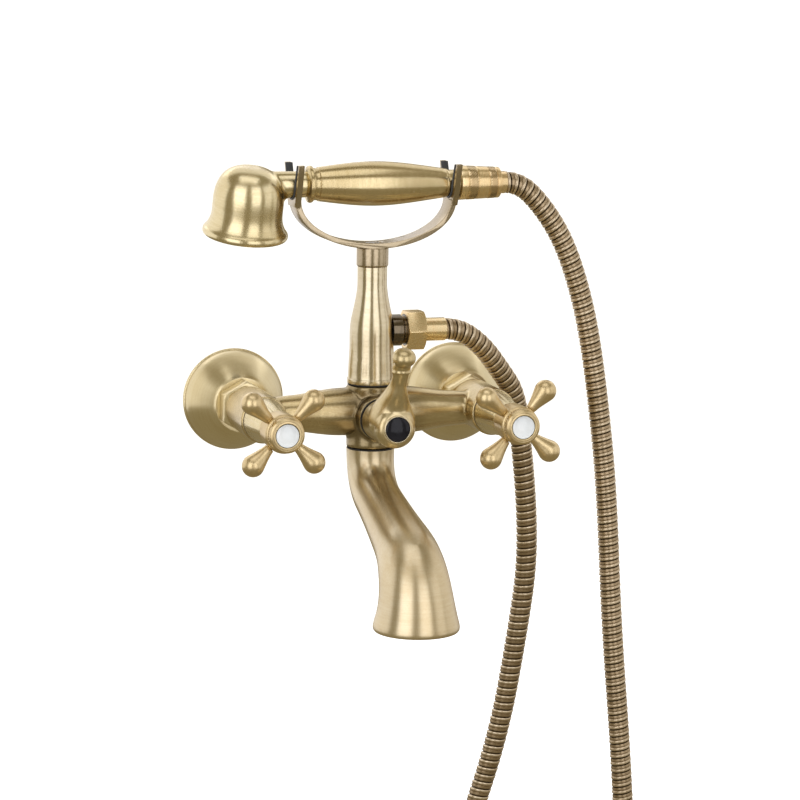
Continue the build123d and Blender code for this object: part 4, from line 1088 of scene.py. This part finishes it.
    def cut(self, piece: Piece, end: Vector, outward: Vector) -> None:
        """Cut one end of a stretch square and close it.

        Args:
            piece: the stretch.
            end: where the hose ends.
            outward: the direction out of that end.
        """
        near = 3 * self.pitch * MM + self.diameter * MM
        mesh = bmesh.new()
        mesh.from_mesh(piece.data)
        close = [v for v in mesh.verts if (v.co - end).length < near]
        faces = [f for f in mesh.faces if all((v.co - end).length < near for v in f.verts)]
        edges = {edge for face in faces for edge in face.edges}
        result = bmesh.ops.bisect_plane(mesh, geom=[*close, *edges, *faces], plane_co=end,
                                        plane_no=outward, clear_outer=True)
        rim = [e for e in result["geom_cut"] if isinstance(e, bmesh.types.BMEdge) and e.is_boundary]
        bmesh.ops.holes_fill(mesh, edges=rim)
        mesh.to_mesh(piece.data)
        mesh.free()

    def finish(self) -> bpy.types.Material:
        """Bronzed strip: light crests, with painted shade that browns its sides and darkens its grooves."""
        board = NodeBoard("hose_metal")
        groove = board.attribute("groove")
        position = board.position()
        cloud = board.noise(position, 60.0, detail=3.0)
        fine = board.noise(position, 1500.0, detail=3.0)
        tone = board.maths("ADD", board.spread(cloud, 0.3, 0.7, 0.0, 0.5),
                           board.spread(fine, 0.2, 0.8, 0.0, 0.5))
        # painted shade, by depth below the crest: brown sides and dark grooves
        colour, sides = (board.mixed(tone, *pair) for pair in (self.crest_colours, self.shaded_side_colours))
        colour = board.mixed(board.spread(groove, 0.04, 0.2), colour, sides)
        colour = board.mixed(board.spread(groove, 0.3, 0.7), colour, self.groove_shade_colour)
        board.shade(base_color=colour, metallic=1.0, roughness=board.spread(fine, 0.2, 0.8, 0.28, 0.42),
                    normal=board.bump(fine, 0.25, 0.02 * MM), coat_weight=0.15, coat_roughness=0.2)
        return board.material

    def build(self) -> None:
        """Model both stretches and dress them in place of the CAD hoses."""
        upper, lower = self.route(self.upper), self.route(self.lower)
        steps = self.walk([*upper, *lower[1:]])
        rows_per_metre = self.around / (self.pitch * MM)
        meeting = round((self.length_of(upper) - steps[0].place) * rows_per_metre)
        last = int((steps[-1].place - steps[0].place) * rows_per_metre) - self.around
        finish = self.finish()
        first_piece = self.stretch("ribbed_hose_upper", steps, 0, meeting)
        second_piece = self.stretch("ribbed_hose_lower", steps, meeting, last)
        self.cut(first_piece, upper[0], (upper[0] - upper[1]).normalized())
        self.cut(second_piece, lower[-1], (lower[-1] - lower[-2]).normalized())
        parts = ((first_piece, upper, upper[-1], "hose_upper", "handset", "cradle", self.upper_length),
                 (second_piece, lower, lower[-4], "hose_lower", "cradle", "root", self.lower_length))
        for piece, line, end, node, start_body, end_body, length in parts:
            dress(piece, finish)
            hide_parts(node)
            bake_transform(piece)
            LOG.info("%s: %d faces, line %.3f m", piece.name, len(piece.data.polygons), self.length_of(line))


@dataclass
class WallInlet:
    """One inlet: threaded wall union, bell-shaped flange with a polished lip, and union nut."""

    side: Side
    flange_radius: float = 33.2
    flange_top: float = 27.6
    flange_wall: float = 1.5
    lip_width: float = 1.9
    nut_hole: float = 13.3
    # radius and place of the bell's points, from the lip to the top and back down inside
    outer_curve: tuple[Point, ...] = ((31.2, 8.0), (27.0, 16.0), (22.1, 22.9), (19.2, 26.4))
    inner_curve: tuple[Point, ...] = ((20.8, 21.6), (25.5, 14.9), (29.7, 7.2), (31.0, 3.0))
    bore: float = 7.5
    shank_radius: float = 9.9
    collar_radius: float = 13.2
    collar_start: float = 16.0
    collar_end: float = 34.0
    thread_radius: float = 10.48
    thread_root: float = 9.4
    thread_pitch: float = 1.814
    thread_turns: int = 9
    thread_start: float = -18.0

    def flange(self, place: Place) -> None:
        """Turn the flange."""
        rim, lip, wall, top = self.flange_radius, self.lip_width, self.flange_wall, self.flange_top
        outline = (Outline().to(rim - wall, 0.0).to(rim, 0.0, 0.4).to(rim, lip, 0.7)
                   .to(rim - 0.9, lip + 0.3, 0.2).to(rim - 1.0, lip + 0.8).through(*self.outer_curve)
                   .to(17.6, top, 0.9).to(self.nut_hole, top).to(self.nut_hole, top - wall)
                   .to(17.2, top - wall).through(*self.inner_curve))
        piece = Bench.turned(f"{self.side.word}_flange_bell", place, outline, steps=144, loop=True)
        mount(piece, "root", "antique_brass", BELL.dressed(place, Grain.TURNED),
              f"{self.side.word}_wall_flange")

    def union(self, place: Place) -> None:
        """Turn the wall union with its inlet thread."""
        outline = Outline().to(self.bore, self.thread_start).to(self.thread_root, self.thread_start)
        for turn in range(self.thread_turns):
            start = self.thread_start + 0.5 + turn * self.thread_pitch
            outline.to(self.thread_root, start).to(self.thread_radius, start + 0.7)
            outline.to(self.thread_radius, start + 0.95).to(self.thread_root, start + 1.65)
        outline.to(self.shank_radius, 0.0).to(self.shank_radius, self.collar_start)
        outline.to(self.collar_radius, self.collar_start, 0.4).to(self.collar_radius, self.collar_end, 0.4)
        outline.to(self.bore, self.collar_end, 0.3)
        piece = Bench.turned(f"{self.side.word}_threaded_union", place, outline, steps=72, loop=True)
        mount(piece, "root", "plain_brass", PLAIN.dressed(place, Grain.TURNED),
              f"{self.side.word}_wall_union")

    def build(self) -> None:
        """Make and dress the inlet."""
        word, place = self.side.word, valve_place(self.side)
        self.flange(place)
        self.union(place)
        mount_eased("root", "antique_brass", BELL.dressed(place, Grain.CAST), f"{word}_union_nut", edge=0.5)
        dress_nodes(RUBBER.dressed(), f"{word}_union_washer")


@dataclass
class CrossHandle:
    """One valve: bonnet, hub, four teardrop arms, beaded ring and porcelain button."""

    side: Side
    bore: float = 4.1
    sleeve_start: float = 113.0
    sleeve_radius: float = 6.8
    hub_rear: float = 122.5
    hub_front: float = 141.0
    rear_radius: float = 11.7
    front_radius: float = 12.2
    pocket_radius: float = 5.0
    pocket_depth: float = 4.5
    bead_count: int = 44
    bead_radius: float = 0.72
    bead_circle: float = 10.7
    button_radius: float = 7.1
    button_height: float = 5.9
    stem_radius: float = 4.9
    stem_length: float = 3.0

    def hub(self, place: Place) -> None:
        """Turn the hub, with a round shoulder in front."""
        rear, front, floor = self.hub_rear, self.hub_front, self.hub_front - self.pocket_depth
        outline = (Outline().to(self.bore, self.sleeve_start).to(self.sleeve_radius, self.sleeve_start, 0.2)
                   .to(self.sleeve_radius, rear).to(self.rear_radius, rear, 0.9)
                   .to(self.front_radius, front, 2.0).to(self.pocket_radius, front)
                   .to(self.pocket_radius, floor).to(self.bore, floor))
        piece = Bench.turned(f"{self.side.word}_hub_turned", place, outline, steps=96, loop=True)
        mount(piece, f"{self.side.word}_handle", "antique_brass", WARM.dressed(place, Grain.TURNED),
              f"{self.side.word}_handle_hub")

    def ring(self, place: Place) -> None:
        """Turn the ring round the button and set its row of beads."""
        front = self.hub_front
        outline = (Outline().to(7.35, front - 0.3).to(10.9, front - 0.3).to(10.9, front + 0.35, 0.2)
                   .to(10.35, front + 0.6).to(10.35, front + 1.9).to(10.9, front + 2.1, 0.3)
                   .to(11.0, front + 4.9, 1.4).to(9.2, front + 5.9, 0.6).to(8.95, front + 5.6)
                   .to(8.75, front + 6.0).to(7.6, front + 6.2, 0.4).to(7.35, front + 5.4))
        ring = Bench.turned("ring_body", place, outline, steps=120, loop=True)
        Bench.clear()
        bpy.ops.mesh.primitive_ico_sphere_add(subdivisions=2, radius=self.bead_radius * MM,
                                              location=place.at(self.bead_circle, front + 1.25))
        beads = Bench.ring_of(bpy.context.object, place, self.bead_count)
        piece = Bench.joined(f"{self.side.word}_beaded_ring", [ring, beads])
        mount(piece, f"{self.side.word}_handle", "antique_brass", WARM.dressed(place, Grain.TURNED),
              f"{self.side.word}_handle_ring")

    def button(self, place: Place) -> None:
        """Turn the glazed button, bare on its domed face."""
        back, front = self.hub_front - self.stem_length, self.hub_front + self.button_height
        outline = (Outline().to(0.0, back).to(self.stem_radius, back)
                   .to(self.stem_radius, self.hub_front).to(self.button_radius, self.hub_front)
                   .to(self.button_radius, front, 0.7).through((5.4, front + 0.85), (3.0, front + 1.35),
                                                              (0.0, front + 1.5)))
        piece = Bench.turned(f"{self.side.word}_glazed_button", place, outline, steps=72)
        mount(piece, f"{self.side.word}_handle", "porcelain", PORCELAIN.dressed(),
              f"{self.side.word}_handle_button")

    def build(self) -> None:
        """Make and dress the valve."""
        word, place = self.side.word, valve_place(self.side)
        self.hub(place)
        self.ring(place)
        self.button(place)
        mount_eased("root", "antique_brass", ANTIQUE.dressed(place, Grain.TURNED), f"{word}_bonnet")
        mount_eased(f"{word}_handle", "antique_brass", WARM.dressed(place, Grain.CAST),
                    f"{word}_handle_arms", edge=0.2)
        dress_nodes(PLAIN.dressed(place, Grain.TURNED), f"{word}_headwork", f"{word}_spindle")
        dress_nodes(STEEL.dressed(place, Grain.TURNED), f"{word}_handle_screw")
        dress_nodes(RUBBER.dressed(), f"{word}_bonnet_seal")


@dataclass
class MixerBody:
    """The cast body: upright hub, two arms, two barrels and the diverter's boss."""

    grain: float = 0.8
    rounds: int = 14

    def build(self) -> None:
        """Make and dress the body."""
        piece = Bench.softened("cast_body", "mixer_body", self.grain, self.rounds)
        mount(piece, "root", "antique_brass", SHADED_BODY_BRASS.dressed(ARMS, Grain.DRAWN), "mixer_body")


@dataclass
class Diverter:
    """The lever with its ball end, its black cap and bezel, and the cartridge behind."""

    grain: float = 0.42
    rounds: int = 10
    face: float = 126.0
    cap_radius: float = 7.65
    bezel_radius: float = 8.7

    def cap(self) -> None:
        """Turn the glossy cap, bare on its domed face."""
        front = self.face + 0.9
        outline = (Outline().to(0.0, self.face - 2.0).to(self.cap_radius, self.face - 2.0)
                   .to(self.cap_radius, front, 0.4).through((6.0, front + 0.7), (3.4, front + 1.2),
                                                           (0.0, front + 1.4)))
        mount(Bench.turned("domed_cap", LEVER, outline, steps=72), "diverter", "black_gloss",
              ENAMEL.dressed(), "diverter_cap")

    def bezel(self) -> None:
        """Turn the thin polished ring round the cap."""
        inside, outside, face = self.cap_radius + 0.08, self.bezel_radius, self.face
        outline = (Outline().to(inside, face - 0.1).to(outside, face - 0.1).to(outside, face + 0.9, 0.4)
                   .to(self.cap_radius + 0.3, face + 1.3, 0.3).to(inside, face + 0.8))
        mount(Bench.turned("cap_bezel", LEVER, outline, steps=96, loop=True), "diverter", "antique_brass",
              PALE.dressed(LEVER, Grain.TURNED), "diverter_bezel")

    def build(self) -> None:
        """Make and dress the diverter."""
        piece = Bench.softened("cast_lever", "diverter_lever", self.grain, self.rounds)
        mount(piece, "diverter", "antique_brass", LEVER_BRASS.dressed(LEVER, Grain.CAST), "diverter_lever")
        self.cap()
        self.bezel()
        dress_nodes(PLAIN.dressed(LEVER, Grain.TURNED), "diverter_cartridge", "diverter_spindle")
        dress_nodes(STEEL.dressed(LEVER, Grain.TURNED), "diverter_screw")
        dress_nodes(RUBBER.dressed(), "diverter_seal")


@dataclass
class Riser:
    """The turned riser with the hose outlet at its side."""

    bore: float = 7.0
    nipple_root: float = 12.2
    nipple_radius: float = 10.0
    groove_radius: float = 8.9
    thread_radius: float = 9.9
    nut_start: float = 21.4

    def nipple(self) -> None:
        """Turn the dark nipple between the riser and the hose nut."""
        root, start, end = self.nipple_root, self.nut_start, self.nut_start + 6.0
        outline = (Outline().to(self.bore, root).to(self.nipple_radius, root)
                   .to(self.nipple_radius, start - 2.6, 0.5).to(self.groove_radius, start - 1.8, 0.3)
                   .to(self.groove_radius, start - 0.1).to(self.thread_radius, start - 0.1)
                   .to(self.thread_radius, end).to(self.bore, end))
        mount(Bench.turned("glossy_nipple", OUTLET, outline, steps=72, loop=True), "root", "dark_brass",
              DARK.dressed(OUTLET, Grain.TURNED), "outlet_nipple")

    def build(self) -> None:
        """Make and dress the riser and its outlet."""
        self.nipple()
        mount_eased("root", "antique_brass", PALE.dressed(COLUMN, Grain.TURNED), "riser")
        mount_eased("root", "golden_brass", GOLDEN.dressed(OUTLET, Grain.CAST), "outlet_hose_nut", edge=0.5)
        mount_eased("root", "golden_brass", GOLDEN.dressed(OUTLET, Grain.TURNED), "lower_hose_sleeve")
        dress_nodes(RUBBER.dressed(), "riser_seal", "outlet_washer")


@dataclass
class Cradle:
    """Bent strip with two forks on a turned ferrule, and the fork's nylon liners, whose black paints the
    shade and dark reflection on the prongs' inner faces.
    """

    edge: float = 0.5

    def build(self) -> None:
        """Make and dress the cradle."""
        piece = Bench.eased("bent_strip", "cradle", self.edge, limit=40.0, segments=3, flat=0.5, smooth=28.0)
        mount(piece, "cradle", "antique_brass", STRIP.dressed(COLUMN, Grain.CAST), "cradle")
        # painted shade: the liners' black nylon stands in for the shade and dark reflection on the prongs'
        # inner faces
        mount_eased("cradle", "black_nylon", NYLON.dressed(), "left_fork_liner", "right_fork_liner")
        dress_nodes(STEEL.dressed(COLUMN, Grain.TURNED), "cradle_screw", "cradle_washer")


@dataclass
class HandShower:
    """Head with its spray plate, turned grip, and conical hose nut with two knurled bands."""

    grain: float = 0.6
    rounds: int = 10
    nut_start: float = 55.4
    nut_end: float = 82.5
    wide_radius: float = 11.0
    narrow_radius: float = 9.75
    bands: tuple[Point, ...] = ((60.4, 67.1), (74.4, 80.0))
    knurl_rows: int = 8
    knurl_steps: int = 80
    knurl_height: float = 0.4
    nozzle_rows: tuple[tuple[float, int], ...] = ((17.0, 16), (10.5, 10))
    nozzle_root: float = 1.35
    nozzle_tip: float = 0.95
    nozzle_height: float = 1.4
    nozzle_bore: float = 0.8
    plate_front: float = -31.8

    def nut_radius(self, along: float) -> float:
        """Outside radius of the conical nut."""
        share = (along - self.nut_start) / (self.nut_end - self.nut_start)
        return self.wide_radius + (self.narrow_radius - self.wide_radius) * share

    def nut(self) -> None:
        """Turn the conical nut and knurl its two bands."""
        outline = (Outline().to(9.3, self.nut_start).to(self.wide_radius, self.nut_start, 0.6))
        for start, end in self.bands:
            outline.to(self.nut_radius(start - 0.5), start - 0.5).to(self.nut_radius(start) - 0.45, start)
            for row in range(1, self.knurl_rows):
                along = start + (end - start) * row / self.knurl_rows
                outline.to(self.nut_radius(along) - 0.3, along)
            outline.to(self.nut_radius(end) - 0.45, end).to(self.nut_radius(end + 0.5), end + 0.5)
        outline.to(self.narrow_radius, self.nut_end, 0.5).to(7.2, self.nut_end)
        piece = Bench.turned("knurled_nut", HANDSET, outline, steps=self.knurl_steps, loop=True)
        for start, end in self.bands:
            Bench.knurl(piece, HANDSET, start, end, self.knurl_rows, self.knurl_steps, self.knurl_height)
        mount(piece, "handset", "golden_brass", KNURLED.dressed(HANDSET, Grain.TURNED),
              "handset_hose_nut")

    def nozzles(self) -> None:
        """Set the soft spray nozzles in their rows on the plate."""
        rows = []
        for radius, count in self.nozzle_rows:
            Bench.clear()
            turned = (-HEAD.direction).to_track_quat("Z", "Y").to_euler()
            bpy.ops.mesh.primitive_cone_add(
                vertices=16, radius1=self.nozzle_root * MM, radius2=self.nozzle_tip * MM,
                depth=self.nozzle_height * MM, location=HEAD.at(radius, self.plate_front - 0.3),
                rotation=turned)
            nozzle = bpy.context.object
            bpy.ops.object.transform_apply(location=True, rotation=True, scale=True)
            with Bench.editing_face(nozzle, HEAD.at(radius, self.plate_front - 1.0)):
                bpy.ops.mesh.inset(thickness=0.4 * MM, depth=0.0)
                bpy.ops.mesh.inset(thickness=0.02 * MM, depth=-self.nozzle_bore * MM)
            rows.append(Bench.ring_of(nozzle, HEAD, count))
        mount(Bench.joined("spray_nozzles", rows), "handset", "rubber", SILICONE.dressed())

    def build(self) -> None:
        """Make and dress the hand shower."""
        head = Bench.softened("cast_head", "handset_head", self.grain, self.rounds)
        mount(head, "handset", "antique_brass", ANTIQUE.dressed(HEAD, Grain.TURNED), "handset_head")
        self.nut()
        self.nozzles()
        mount_eased("handset", "antique_brass", GRIP.dressed(HANDSET, Grain.TURNED), "handset_grip",
                    "handset_end")
        mount_eased("handset", "golden_brass", GOLDEN.dressed(HANDSET, Grain.TURNED), "upper_hose_sleeve")
        mount_eased("handset", "black_nylon", NYLON.dressed(), "spray_plate", edge=0.2)
        dress_nodes(STEEL.dressed(HEAD, Grain.TURNED), "spray_screw")
        dress_nodes(RUBBER.dressed(), "handset_washer")


@dataclass
class Spout:
    """Swan-neck spout with a flared mouth, and the aerator in it."""

    pocket_radius: float = 19.05
    recess: float = 3.6
    pocket_depth: float = 9.0
    thread_radius: float = 9.9
    thread_length: float = 9.9
    bore_radius: float = 7.5
    draft: float = 0.01
    cell_pitch: float = 3.1
    cell_wall: float = 0.24
    cell_height: float = 3.0
    cell_rings: int = 4
    insert_front: float = -113.2
    # Y and Z of the middle of each section, and its radius
    stations: tuple[Spot, ...] = (
        (-65.0, -23.9, 15.4), (-65.0, -27.5, 15.2), (-65.2, -32.3, 15.1), (-67.0, -38.9, 15.0),
        (-70.8, -44.9, 15.0), (-76.2, -49.7, 15.0), (-82.8, -53.0, 15.0), (-89.9, -55.3, 15.1),
        (-96.9, -57.5, 15.4), (-104.0, -59.7, 15.7), (-111.1, -61.9, 16.1), (-118.1, -64.2, 16.5),
        (-125.2, -66.4, 17.0), (-132.2, -68.6, 17.5), (-139.3, -70.8, 18.1), (-146.3, -73.2, 18.8),
        (-153.0, -76.3, 19.6), (-158.9, -80.6, 20.5), (-163.9, -86.1, 21.3), (-167.7, -92.4, 22.1),
        (-170.3, -99.3, 23.0), (-171.4, -106.6, 24.4), (-171.5, -112.0, 25.9), (-171.5, -115.2, 26.7),
        (-171.5, -117.2, 26.6), (-171.5, -118.0, 25.6))

    def neck(self) -> None:
        """Draw the spout's tube along its smooth line and give it its wall."""
        curve = bpy.data.curves.new("spout_line", "CURVE")
        curve.dimensions = "3D"
        curve.bevel_depth, curve.bevel_resolution = MM, 22
        spline = curve.splines.new("NURBS")
        spline.points.add(len(self.stations) - 1)
        for knot, (depth, height, radius) in zip(spline.points, self.stations):
            knot.co = (0.0, depth * MM, height * MM, 1.0)
            knot.radius = radius
        spline.order_u = 4
        spline.use_endpoint_u = True
        spline.resolution_u = 6
        piece = bpy.data.objects.new("swan_neck", curve)
        bpy.context.scene.collection.objects.link(piece)
        Bench.hold(piece)
        bpy.ops.object.convert(target="MESH")
        piece = bpy.context.object
        with Bench.editing(piece):
            bpy.ops.mesh.fill_holes(sides=0)
        Bench.settle(piece)
        top_radius, mouth_radius = self.stations[0][2], self.stations[-1][2]
        with Bench.editing_face(piece, MOUTH.at(0.0, self.stations[-1][1])):
            bpy.ops.mesh.inset(thickness=(mouth_radius - self.pocket_radius) * MM, depth=-self.recess * MM)
            bpy.ops.mesh.inset(thickness=self.draft * MM, depth=-self.pocket_depth * MM)
        with Bench.editing_face(piece, COLUMN.at(0.0, self.stations[0][1])):
            for inwards, deeper in ((top_radius - self.thread_radius, 0.0),
                                    (self.draft, self.thread_length),
                                    (self.thread_radius - self.bore_radius, 0.0),
                                    (self.draft, -self.thread_length)):
                bpy.ops.mesh.inset(thickness=inwards * MM, depth=deeper * MM)
        Bench.hold(piece)
        bpy.ops.object.shade_smooth_by_angle(angle=Bench.smooth_angle)
        mount(piece, "root", "antique_brass", SPOUT_BRASS.dressed(MOUTH, Grain.TURNED), "spout")

    def aerator(self) -> None:
        """Turn the aerator's cup and fill it with a honeycomb."""
        front = self.insert_front
        outline = (Outline().to(0.0, front + 7.6).to(14.9, front + 7.6).to(14.9, front, 0.3)
                   .to(14.0, front, 0.2).to(14.0, front + 3.6).to(0.0, front + 3.6))
        cup = Bench.turned("aerator_cup", MOUTH, outline, steps=72)
        Bench.clear()
        pitch = self.cell_pitch
        bpy.ops.mesh.primitive_circle_add(vertices=6, radius=(pitch / math.sqrt(3) - 0.02) * MM,
                                          fill_type="NGON", location=MOUTH.at(0.0, front + 0.35))
        cells = bpy.context.object
        reach, here = self.cell_rings, Vector((0, 0, 0))
        with Bench.editing(cells):
            bpy.ops.mesh.inset(thickness=self.cell_wall * MM, depth=0.0)
            bpy.ops.mesh.delete(type="FACE")
            bpy.ops.mesh.select_all(action="SELECT")
            bpy.ops.mesh.extrude_region_move(TRANSFORM_OT_translate={"value": (0, 0, self.cell_height * MM)})
            bpy.ops.mesh.select_all(action="SELECT")
            for q in range(-reach, reach + 1):
                for r in range(max(-reach, -q - reach), min(reach, -q + reach) + 1):
                    if q == r == 0:
                        continue
                    there = Vector(((r + q / 2) * pitch, math.sqrt(3) / 2 * q * pitch, 0)) * MM
                    bpy.ops.mesh.duplicate_move(TRANSFORM_OT_translate={"value": there - here})
                    here = there
        Bench.settle(cells, closed=False)
        mount(Bench.joined("honeycomb_aerator", [cup, cells]), "root", "black_nylon", NYLON.dressed(),
              "aerator_insert")

    def build(self) -> None:
        """Make and dress the spout."""
        self.neck()
        self.aerator()
        mount_eased("root", "antique_brass", PALE.dressed(MOUTH, Grain.TURNED), "aerator_ring")
        dress_nodes(RUBBER.dressed(), "spout_seal")


def main() -> None:
    """Build the studio and every part of the mixer."""
    logging.basicConfig(level=logging.INFO, format="%(message)s")
    studio = Studio()
    studio.place_camera()
    ShowerHose().build()
    for side in Side:
        WallInlet(side).build()
        CrossHandle(side).build()
    for assembly in (MixerBody(), Diverter(), Riser(), Cradle(), HandShower(), Spout()):
        assembly.build()
    studio.light()
    studio.lay_floor()


if __name__ == "__main__":
    main()
